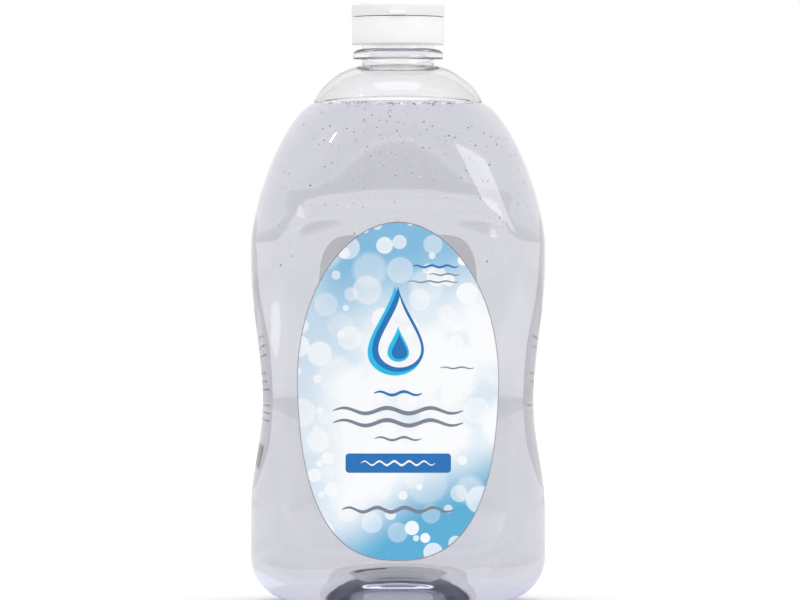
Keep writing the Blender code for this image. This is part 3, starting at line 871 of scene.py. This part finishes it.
frontMaterials = [makeFrontPrint(), makeFilmInside("frontFilmInside", frontPrint)]
frontFilm = makeLabel("frontFilm", frontLabel, frontOutline, -1, frontMaterials)
ridePiece(frontFilm, "bottle", "front_film", "front_label")
backMaterials = [makeBackPrint(), makeFilmInside("backFilmInside", backPrint)]
backFilm = makeLabel("backFilm", backLabel, backOutline, 1, backMaterials)
ridePiece(backFilm, "bottle", "back_film", "back_label")
print("label films made")


motif = {
    "lift": 0.00013, "ink": 0.00004, "dropLayer": 0.00002, "waveLayer": 0.00003,
    # middle, radius and height of the point of the drop; then each drop's offset, size and ink
    "drop": (0.0, 0.1065, 0.0121, 0.0103),
    "nestedDrops": (
        (-0.0012, -0.0008, 1.06, "cyan"), (0, 0, 1.0, "blue"), (0.0007, -0.0003, 0.83, "white"),
        (0.0001, -0.0030, 0.42, "cyan"), (0.0006, -0.0034, 0.30, "blue"),
    ),
    # left, right, foot, top and corner radius
    "bar": (-0.0212, 0.0214, 0.0536, 0.0614, 0.0014),
    # waves: left, right, middle height, swing, number of waves, thickness, ink
    "barWave": (-0.0150, 0.0150, 0.0575, 0.0008, 5, 0.0009),
    "waves": (
        (-0.0098, 0.0098, 0.0857, 0.0007, 2, 0.0012, "blue"),
        (-0.0263, 0.0263, 0.0787, 0.0011, 3, 0.0017, "grey"),
        (-0.0263, 0.0263, 0.0738, 0.0011, 3, 0.0017, "grey"),
        (-0.0095, 0.0095, 0.0674, 0.0006, 2, 0.0010, "grey"),
        (-0.0227, 0.0227, 0.0387, 0.0009, 4, 0.0016, "grey"),
        (0.0058, 0.0245, 0.1370, 0.0004, 3, 0.0009, "blue"),
        (0.0124, 0.0249, 0.1337, 0.0003, 2, 0.0006, "grey"),
        (0.0041, 0.0245, 0.1308, 0.0003, 3, 0.0006, "grey"),
        (0.0170, 0.0309, 0.0960, 0.0003, 2, 0.0006, "grey"),
    ),
}
backMotif = {
    "margin": 0.004, "rounding": 0.0016,
    "head": (0.010, 0.1180, 0.1260), "foot": (0.018, 0.0480, 0.0580),
    # rows of plain lines, as shares of the label's width
    "rows": (1.0, 0.94, 0.72, 0.0, 1.0, 0.9, 0.55, 0.0, 0.97, 0.88, 0.6),
    "rowTop": 0.1130, "rowStep": 0.0042, "rowThick": 0.0008, "rowRounding": 0.00035,
}


def printPatch(name, outline, facing, lift, material, rings=6):
    # A thin printed shape that follows the film; its outline goes round one middle point.
    centreX = sum(point[0] for point in outline) / len(outline)
    centreZ = sum(point[1] for point in outline) / len(outline)
    shares = [(step + 0.5) / (rings + 0.5) for step in range(rings + 1)]
    layers = [(share, lift - motif["ink"]) for share in shares] + [(share, lift) for share in shares[::-1]]
    placed = []
    for share, height in layers:
        ring = []
        for x, z in outline:
            x, z = centreX + (x - centreX) * share, centreZ + (z - centreZ) * share
            ring.append((x, facing * (panelSurface(x, z) + height), z))
        placed.append(ring)
    builder = bmesh.new()
    skinRings(builder, placed)
    return meshObject(name, builder, [material], 40)


def finerOutline(points, longest=0.0008):
    # Long edges get points of their own, so that a printed shape bends with the film.
    finer = []
    for index, (x, z) in enumerate(points):
        beforeX, beforeZ = points[index - 1]
        parts = max(1, math.ceil(math.hypot(x - beforeX, z - beforeZ) / longest))
        for part in range(1, parts + 1):
            finer.append((beforeX + (x - beforeX) * part / parts, beforeZ + (z - beforeZ) * part / parts))
    return finer


def roundedBar(left, right, foot, top, radius, steps=8):
    points = []
    corners = ((right - radius, top - radius, 0), (left + radius, top - radius, 1),
               (left + radius, foot + radius, 2), (right - radius, foot + radius, 3))
    for x, z, quarter in corners:
        for step in range(steps + 1):
            turn = math.pi / 2 * (quarter + step / steps)
            points.append((x + radius * math.cos(turn), z + radius * math.sin(turn)))
    return finerOutline(points)


def dropOutline(x, z, radius, point, lean=0.0, steps=72):
    # A water drop: round below, drawn up to a point.
    points = []
    for step in range(steps):
        turn = 2 * math.pi * step / steps
        up = (1 + math.sin(turn)) / 2
        narrow = 1 - up ** 2.2 * 0.96
        points.append((x + radius * math.cos(turn) * narrow + lean * up ** 3,
                       z + radius * math.sin(turn) + point * up ** 3))
    return points


def waveRibbon(left, right, middle, height, waves, width, steps=96):
    upper, lower = [], []
    for step in range(steps + 1):
        share = step / steps
        x = left + (right - left) * share
        z = middle + height * math.sin(2 * math.pi * waves * share)
        half = width / 2 * math.sin(math.pi * min(max(share, 0.004), 0.996)) ** 0.35
        upper.append((x, z + half))
        lower.append((x, z - half))
    return upper, lower


def ribbonPatch(name, ribbon, facing, lift, material):
    upper, lower = ribbon
    rings = []
    for (xTop, zTop), (xLow, zLow) in zip(upper, lower):
        corners = ((xTop, zTop, lift), (xTop, zTop, lift - motif["ink"]),
                   (xLow, zLow, lift - motif["ink"]), (xLow, zLow, lift))
        rings.append([(x, facing * (panelSurface(x, z) + height), z) for x, z, height in corners])
    builder = bmesh.new()
    skinRings(builder, rings)
    return meshObject(name, builder, [material], 40)


def joinPieces(name, pieces):
    # One mesh of several printed shapes.
    builder = bmesh.new()
    materials = []
    for piece in pieces:
        first = len(builder.faces)
        builder.from_mesh(piece.data)
        builder.faces.ensure_lookup_table()
        material = piece.data.materials[0]
        if material not in materials:
            materials.append(material)
        for face in builder.faces[first:]:
            face.material_index = materials.index(material)
        bpy.data.objects.remove(piece)
    return meshObject(name, builder, materials, 40)


def makeFrontMotif():
    ink = {
        "blue": makeInk("inkBlue", frontPrint["inkBlue"]), "cyan": makeInk("inkCyan", frontPrint["inkCyan"]),
        "white": makeInk("inkWhite", frontPrint["white"]), "grey": makeInk("inkGrey", frontPrint["inkGrey"]),
    }
    x, z, radius, point = motif["drop"]
    lift = motif["lift"]
    parts = []
    for number, (right, up, share, colour) in enumerate(motif["nestedDrops"]):
        outline = dropOutline(x + right, z + up, radius * share, point * share)
        parts.append(printPatch("drop", outline, -1, lift + motif["dropLayer"] * number, ink[colour], 12))
    parts.append(printPatch("bar", roundedBar(*motif["bar"]), -1, lift, ink["blue"], 14))
    barWave = waveRibbon(*motif["barWave"])
    parts.append(ribbonPatch("barWave", barWave, -1, lift + motif["waveLayer"], ink["white"]))
    for *wave, colour in motif["waves"]:
        parts.append(ribbonPatch("wave", waveRibbon(*wave), -1, lift, ink[colour]))
    ridePiece(joinPieces("frontMotif", parts), "bottle", "front_film")


def makeBackMotif():
    band, line = makeInk("backBand", backPrint["band"]), makeInk("backLine", backPrint["line"], 0.35)
    lift = motif["lift"]
    left, right = -backLabel["width"] / 2, backLabel["width"] / 2
    inset, thick = backMotif["margin"], backMotif["rowThick"]
    headInset, headFoot, headTop = backMotif["head"]
    head = roundedBar(left + headInset, right - headInset, headFoot, headTop, backMotif["rounding"])
    parts = [printPatch("head", head, 1, lift, band, 12)]
    height = backMotif["rowTop"]
    for share in backMotif["rows"]:
        if share:
            end = left + inset + (2 * right - 2 * inset) * share
            row = roundedBar(left + inset, end, height - thick, height, backMotif["rowRounding"], 3)
            parts.append(printPatch("row", row, 1, lift, line, 4))
        height -= backMotif["rowStep"]
    footWidth, footFoot, footTop = backMotif["foot"]
    foot = roundedBar(left + inset, left + inset + footWidth, footFoot, footTop, backMotif["rounding"])
    parts.append(printPatch("foot", foot, 1, lift, band, 8))
    ridePiece(joinPieces("backMotif", parts), "bottle", "back_film")


makeFrontMotif()
makeBackMotif()
print("prints made")


# Cap
cap = {
    "radius": 0.0189, "aboveRing": 0.0018, "shellWall": 0.0011, "skirtWall": 0.0011, "skirtShorter": 0.0004,
    "deck": 0.0013, "gap": 0.0003, "crestGap": 0.0004, "flankGap": 0.00035,
    "gasket": 0.0009, "gasketBore": 0.0131, "gasketRounding": 0.00022,
    "spoutRadius": 0.0042, "spoutHeight": 0.0016, "orifice": 0.0030, "threadTurns": 0.95, "threadSteps": 56,
    "lidOverhang": 0.0001, "lidHeight": 0.0055, "lidWall": 0.0012, "lidRounding": 0.0014,
    "plugGap": 0.0005, "plugReach": 0.0006, "tabWidth": 0.0070, "tabHeight": 0.0018, "tabOut": 0.0009,
    "tabRounding": 0.0004, "hingeWidth": 0.0100, "hingeOut": 0.0010, "lugHeight": 0.0020, "lugIn": 0.0003,
    "strap": 0.00028, "strapNarrower": 0.0006, "strapBow": 0.00028, "strapReach": 0.0011, "strapBend": 0.0005,
    "strapSteps": 24, "strapSink": 0.00008, "lidCore": 0.0004, "points": 160,
}
capBottom = ringTop + cap["aboveRing"]
deckBottom = lipHeight + cap["gasket"] + 2 * cap["gap"]
deckTop = deckBottom + cap["deck"]
lidBottom = deckTop + cap["gap"]
lidTop = lidBottom + cap["lidHeight"]
hingeHeight = deckTop + cap["gap"] / 2
capBore = neck["radius"] + neck["threadDepth"] + cap["crestGap"]


def roundCorners(outline, radii, steps=4, closed=True):
    # Each corner of a (radius, height) outline becomes a small arc.
    count = len(outline)
    rounded = []
    for index, (corner, radius) in enumerate(zip(outline, radii)):
        if radius == 0 or (not closed and index in (0, count - 1)):
            rounded.append(corner)
            continue
        before, after = outline[index - 1], outline[(index + 1) % count]
        toBefore = (before[0] - corner[0], before[1] - corner[1])
        toAfter = (after[0] - corner[0], after[1] - corner[1])
        lengths = math.hypot(*toBefore), math.hypot(*toAfter)
        reach = min(radius, lengths[0] * 0.45, lengths[1] * 0.45)
        start = tuple(corner[axis] + toBefore[axis] / lengths[0] * reach for axis in range(2))
        end = tuple(corner[axis] + toAfter[axis] / lengths[1] * reach for axis in range(2))
        for step in range(steps + 1):
            share = step / steps
            weights = (1 - share) ** 2, 2 * share * (1 - share), share * share
            rounded.append(tuple(weights[0] * start[axis] + weights[1] * corner[axis] + weights[2] * end[axis]
                                 for axis in range(2)))
    return rounded


def turnedRings(outline, points):
    return [circleRing(radius, z, points) for radius, z in outline]


def closeLoop(builder, loops):
    first, last = loops[0], loops[-1]
    for index in range(len(first)):
        builder.faces.new((last[index - 1], last[index], first[index], first[index - 1]))


def roundedBlock(name, low, high, material, rounding=0.00025):
    builder = bmesh.new()
    bmesh.ops.create_cube(builder, size=1.0)
    for vertex in builder.verts:
        for axis in range(3):
            vertex.co[axis] = low[axis] if vertex.co[axis] < 0 else high[axis]
    bmesh.ops.bevel(builder, geom=builder.edges[:], offset=rounding, segments=3, affect="EDGES", profile=0.5)
    return meshObject(name, builder, [material], 40)


def uniteBlocks(piece, blocks):
    # The blocks become one body with the piece.
    for block in blocks:
        union = piece.modifiers.new("join" + block.name, "BOOLEAN")
        union.operation = "UNION"
        union.solver = "EXACT"
        union.object = block
    evaluated = piece.evaluated_get(bpy.context.evaluated_depsgraph_get())
    mesh = bpy.data.meshes.new_from_object(evaluated)
    piece.modifiers.clear()
    piece.data = mesh
    mesh.shade_smooth()
    mesh.set_sharp_from_angle(angle=math.radians(40))
    for block in blocks:
        bpy.data.objects.remove(block)


capLook = {
    "tint": shown(255, 255, 255), "shade": shown(251, 252, 253), "roughness": 0.34,
    "through": 0.05, "index": 1.49, "milky": 0.7, "depth": 0.0008, "paintedInsideGlow": 0.28,
}


def makeCapPlastic(name, glow):
    material, tree, shader = newMaterial(name)
    flow = noiseOf(tree, objectCoordinates(tree, scale=(1, 1, 2.5)), 120, 3.0, 0.5, 0.6)
    colourFrom(tree, shader, mapRange(tree, flow, 0.3, 0.7, 0, 1), capLook["shade"], capLook["tint"])
    roughnessFrom(tree, shader, flow, capLook["roughness"] * 0.9, capLook["roughness"] * 1.15)
    # emission is a painted glow: none on the outside plastic, some in the cavity
    fixInputs(shader, IOR=capLook["index"], Transmission_Weight=capLook["through"],
              Subsurface_Weight=capLook["milky"], Subsurface_Radius=(1.0, 1.0, 1.0),
              Subsurface_Scale=capLook["depth"],
              Emission_Color=(1.0, 1.0, 1.0, 1.0), Emission_Strength=glow)
    addBump(tree, shader, noiseOf(tree, objectCoordinates(tree), 1400, 2.0), 0.05, 0.0001)
    return material


def paintCavityGlow(piece, material, radius, ceiling):
    # The cavity of the cap gets a painted glow, standing in for the light that comes through its walls.
    piece.data.materials.append(material)
    for face in piece.data.polygons:
        if math.hypot(face.center.x, face.center.y) < radius and face.center.z < ceiling:
            face.material_index = len(piece.data.materials) - 1


def makeCapBase(material, cavityGlowMaterial):
    shellInner, skirtOuter = cap["radius"] - cap["shellWall"], capBore + cap["skirtWall"]
    skirtBottom = capBottom + cap["skirtShorter"]
    ridgeStart = skirtBottom + neck["threadRoot"]
    underNeckThread = ringTop + neck["threadStart"] - neck["threadRoot"] - cap["flankGap"]
    startTurn = (ridgeStart - underNeckThread) / neck["pitch"]
    spoutTop = deckTop + cap["spoutHeight"]
    # each corner's radius, height and rounding
    corners = (
        (skirtOuter, skirtBottom, 0.0003), (skirtOuter, deckBottom, 0.0004),
        (shellInner, deckBottom, 0.0003), (shellInner, capBottom, 0.0002),
        (cap["radius"], capBottom, 0.0003), (cap["radius"], deckTop, 0.00022),
        (cap["spoutRadius"], deckTop, 0.0005), (cap["spoutRadius"], spoutTop, 0.0003),
        (cap["orifice"], spoutTop, 0.0004), (cap["orifice"], deckBottom, 0.0002),
        (capBore, deckBottom, 0.0004),
    )
    outline = roundCorners([corner[:2] for corner in corners], [corner[2] for corner in corners])
    rings = turnedRings(outline, cap["points"])
    # down the threaded bore
    boreTop, boreFoot = deckBottom - 0.0005, skirtBottom + 0.0001
    for step in range(1, cap["threadSteps"] + 1):
        z = boreTop + (boreFoot - boreTop) * step / cap["threadSteps"]
        ring = []
        for index in range(cap["points"]):
            turn = 2 * math.pi * index / cap["points"]
            ridge = ridgeHeight(turn, z, ridgeStart, cap["threadTurns"],
                                neck["threadRoot"], neck["threadCrest"], startTurn)
            radius = capBore - neck["threadDepth"] * ridge
            ring.append((radius * math.cos(turn), radius * math.sin(turn), z))
        rings.append(ring)
    builder = bmesh.new()
    closeLoop(builder, skinRings(builder, rings, False, False))
    base = meshObject("capBase", builder, [material], 40)
    lugHalf, lugOut = cap["hingeWidth"] / 2, cap["radius"] + cap["hingeOut"] - cap["gap"]
    lug = roundedBlock("lug", (-lugHalf, shellInner + cap["lugIn"], hingeHeight - cap["lugHeight"]),
                       (lugHalf, lugOut, deckTop - cap["gap"] / 2), material)
    uniteBlocks(base, [lug])
    paintCavityGlow(base, cavityGlowMaterial, shellInner + 0.00005, deckBottom + 0.0001)
    return base


def makeLid(material):
    radius, core = cap["radius"] + cap["lidOverhang"], cap["lidCore"]
    inner, ceiling = radius - cap["lidWall"], lidTop - cap["lidWall"]
    plug, tip = cap["orifice"] - cap["plugGap"], deckTop - cap["plugReach"]
    corners = (
        (core, tip, 0), (plug, tip, 0.0006), (plug, ceiling, 0.0005), (inner, ceiling, 0.0005),
        (inner, lidBottom, 0.00015), (radius, lidBottom, 0.00025),
        (radius, lidTop, cap["lidRounding"] * 1.15), (core, lidTop, 0),
    )
    outline = roundCorners([corner[:2] for corner in corners], [corner[2] for corner in corners], 6, False)
    builder = bmesh.new()
    skinRings(builder, turnedRings(outline, cap["points"]))
    lid = meshObject("flipLid", builder, [material], 40)
    tabHalf, lugHalf = cap["tabWidth"] / 2, cap["hingeWidth"] / 2
    tabLow = -tabHalf, -radius - cap["tabOut"], lidBottom + 0.00005
    tabHigh = tabHalf, -radius + cap["lidWall"] / 2, lidBottom + cap["tabHeight"]
    tab = roundedBlock("tab", tabLow, tabHigh, material, cap["tabRounding"])
    lugOut = cap["radius"] + cap["hingeOut"] - cap["gap"]
    lug = roundedBlock("lug", (-lugHalf, inner + cap["lugIn"], lidBottom + cap["gap"] / 2),
                       (lugHalf, lugOut, hingeHeight + cap["lugHeight"]), material)
    uniteBlocks(lid, [tab, lug])
    return lid


def makeSeal(material):
    # The foam ring between the bottle's lip and the cap's deck.
    foot, outer = lipHeight + cap["gap"], capBore - cap["crestGap"]
    top = foot + cap["gasket"]
    outline = [(cap["gasketBore"], foot), (outer, foot), (outer, top), (cap["gasketBore"], top)]
    rounded = roundCorners(outline, (cap["gasketRounding"],) * 4, 5)
    builder = bmesh.new()
    closeLoop(builder, skinRings(builder, turnedRings(rounded, cap["points"]), False, False))
    return meshObject("foamSeal", builder, [material], 60)


foam = {"pore": shown(206, 206, 202), "skin": shown(240, 240, 236), "pores": 2600.0}


def makeFoam():
    material, tree, shader = newMaterial("paleFoam")
    pores = addNode(tree, "ShaderNodeTexVoronoi", in_Scale=foam["pores"])
    tree.links.new(objectCoordinates(tree), pores.inputs["Vector"])
    share = mapRange(tree, pores.outputs["Distance"], 0.1, 0.6, 0, 1)
    colourFrom(tree, shader, share, foam["pore"], foam["skin"])
    fixInputs(shader, Roughness=0.85, Subsurface_Weight=0.4, Subsurface_Scale=0.0008)
    addBump(tree, shader, pores.outputs["Distance"], 0.4, 0.0002)
    return material


def makeStrap(material):
    # The living hinge: a thin strap from the base's lug to the lid's, bowed out round the hinge line.
    face = cap["radius"] + cap["hingeOut"] - cap["gap"]
    half = cap["hingeWidth"] / 2 - cap["strapNarrower"]
    rings = []
    for step in range(cap["strapSteps"] + 1):
        share = step / cap["strapSteps"]
        z = hingeHeight + cap["strapReach"] * (2 * share - 1)
        y = face + cap["strapBow"] * math.sin(math.pi * share) - cap["strapSink"]
        thick = cap["strap"] * (0.75 + 0.25 * abs(2 * share - 1))
        front, back = y + thick / 2, y - thick / 2
        rings.append([(half, front, z), (-half, front, z), (-half, back, z), (half, back, z)])
    builder = bmesh.new()
    skinRings(builder, rings)
    strap = meshObject("hingeStrap", builder, [material], 50)
    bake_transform(strap)


capPlastic = makeCapPlastic("naturalPlastic", 0.0)
capBase = makeCapBase(capPlastic, makeCapPlastic("naturalPlasticInside", capLook["paintedInsideGlow"]))
ridePiece(capBase, "cap", "natural_plastic", "cap_base")
flipLid = makeLid(capPlastic)
ridePiece(flipLid, "lid", "natural_plastic", "cap_lid")
makeStrap(capPlastic)
ridePiece(makeSeal(makeFoam()), "gasket", "foam", "cap_gasket")
print("cap, lid, hinge strap and seal made")


# Studio
studio = {
    "cameraBack": 3.0, "eyeHeight": 0.1234, "cameraX": 0.0008, "lens": 329.3,
    "backdropWhite": 1.0, "backdropThrough": 0.95, "backdropSides": 0.90, "backdropHigh": 1.0,
    "softLight": 0.74,
    "floorAlbedo": 0.82, "floorGlow": 0.30, "floorGlowFar": 1.0, "floorHalf": 9.0,
    # painted light and shade on the floor, seen only through the bottle: its reach over the distance, and the
    # painted glow of each strip there
    "paintedStripReach": 0.55,
    "paintedThroughStrips": (
        (0.0, 0.30, 0.30, 0.30), (0.06, 0.28, 0.28, 0.28),
        (0.10, 0.14, 0.14, 0.15), (0.25, 0.14, 0.14, 0.15),
        (0.28, 0.27, 0.27, 0.28), (0.31, 0.20, 0.20, 0.21),
        (0.47, 0.19, 0.19, 0.20), (0.54, 0.18, 0.18, 0.19),
        (0.80, 0.10, 0.10, 0.11), (1.0, 0.09, 0.09, 0.11),
    ),
    # the floor right under the bottle: a painted lavender glow, standing in for the light that comes down
    # through the soap
    "paintedUnderGlow": (0.19, 0.23, 0.48), "underFrom": 0.05, "underTo": 0.11,
    # lamps: name, place, aim, size, watts, shown in reflections
    "lamps": (
        ("keySoftbox", (-1.10, -0.76, 1.12), (0, 0, 0.12), (0.05, 0.09), 3.5, True),
        ("fillSoftbox", (1.1, -0.8, 0.6), (0, 0, 0.12), (0.7, 0.7), 3.9, False),
        ("topSoftbox", (0, -0.2, 1.5), (0, 0, 0.1), (0.9, 0.9), 4.4, False),
    ),
}


def lightPathShares(tree):
    # What the camera sees directly, and what it sees in a reflection or through clear plastic.
    path = addNode(tree, "ShaderNodeLightPath")
    through = maths(tree, "MAXIMUM", path.outputs["Is Glossy Ray"], path.outputs["Is Transmission Ray"])
    return path.outputs["Is Camera Ray"], through


def makeWorld():
    world = bpy.data.worlds.new("paleStudio")
    world.use_nodes = True
    tree = world.node_tree
    background = tree.nodes["Background"]
    background.inputs["Color"].default_value = (1.0, 1.0, 1.0, 1.0)
    seen, through = lightPathShares(tree)
    # the backdrop is a little darker out at the sides, which draws the edges of clear plastic
    clear, sides, high = studio["backdropThrough"], studio["backdropSides"], studio["backdropHigh"]
    aim = splitCoordinates(tree, addNode(tree, "ShaderNodeTexCoord").outputs["Generated"])
    behind = mapRange(tree, maths(tree, "ABSOLUTE", aim["X"]), 0.35, 1.0, clear, sides, smooth=True)
    behind = maths(tree, "ADD", behind, mapRange(tree, aim["Z"], 0.15, 0.8, 0, high - clear, smooth=True))
    soft = studio["softLight"]
    strength = maths(tree, "ADD", soft, maths(tree, "MULTIPLY", seen, studio["backdropWhite"] - soft))
    behind = maths(tree, "MULTIPLY", through, maths(tree, "SUBTRACT", behind, soft))
    tree.links.new(maths(tree, "ADD", strength, behind), background.inputs["Strength"])
    scene.world = world


def makeFloor():
    builder = bmesh.new()
    bmesh.ops.create_grid(builder, x_segments=2, y_segments=2, size=studio["floorHalf"])
    material, tree, shader = newMaterial("paleFloor")
    albedo = studio["floorAlbedo"]
    grain = noiseOf(tree, objectCoordinates(tree), 30, 2.0)
    colourFrom(tree, shader, grain, (albedo * 0.99,) * 3, (albedo * 1.01,) * 3)
    fixInputs(shader, Roughness=0.9, Specular_IOR_Level=0.0)
    seen, through = lightPathShares(tree)
    length = addNode(tree, "ShaderNodeVectorMath", operation="LENGTH")
    tree.links.new(objectCoordinates(tree), length.inputs["Vector"])
    away = length.outputs["Value"]
    far = mapRange(tree, away, 0.5, 2.0, studio["floorGlow"], studio["floorGlowFar"], smooth=True)
    # through the bottle the floor shows painted strips of light and shade at different distances behind it
    strips, ramp = studio["paintedThroughStrips"], addNode(tree, "ShaderNodeValToRGB")
    while len(ramp.color_ramp.elements) < len(strips):
        ramp.color_ramp.elements.new(0.5)
    for element, (place, *colour) in zip(ramp.color_ramp.elements, strips):
        element.position = place
        element.color = (*colour, 1.0)
    tree.links.new(maths(tree, "DIVIDE", studio["paintedStripReach"], away), ramp.inputs["Fac"])
    under = mapRange(tree, away, studio["underFrom"], studio["underTo"], 1, 0, smooth=True)
    paintedThroughColour = mixColours(tree, under, ramp.outputs["Color"], studio["paintedUnderGlow"])
    # the same painted glow under the bottle also reaches rays thrown back inside the foot
    unseen = maths(tree, "SUBTRACT", 1.0, seen)
    paintedShare = maths(tree, "MAXIMUM", through, maths(tree, "MULTIPLY", under, unseen))
    tree.links.new(mixColours(tree, paintedShare, (1.0, 1.0, 1.0), paintedThroughColour), shader.inputs["Emission Color"])
    # emission: the even white of the floor seen directly, plus the painted glow seen through the bottle
    glow = maths(tree, "ADD", maths(tree, "MULTIPLY", seen, far), paintedShare)
    tree.links.new(glow, shader.inputs["Emission Strength"])
    meshObject("studioFloor", builder, [material])


def addLamp(name, place, aim, size, power, inReflections):
    light = bpy.data.lights.new(name, "AREA")
    light.shape = "RECTANGLE"
    light.size, light.size_y = size
    light.energy = power
    lamp = addObject(name, light)
    lamp.location = place
    lamp.rotation_euler = (Vector(aim) - Vector(place)).to_track_quat("-Z", "Y").to_euler()
    lamp.visible_glossy = inReflections


makeWorld()
makeFloor()
for settings in studio["lamps"]:
    addLamp(*settings)

camera = addObject("photoCamera", bpy.data.cameras.new("photoCamera"))
camera.location = (studio["cameraX"], -studio["cameraBack"], studio["eyeHeight"])
camera.rotation_euler = (math.pi / 2, 0, 0)
camera.data.lens = studio["lens"]
camera.data.sensor_width = 36
scene.camera = camera
scene.view_settings.view_transform = "Standard"
print("studio and camera made")
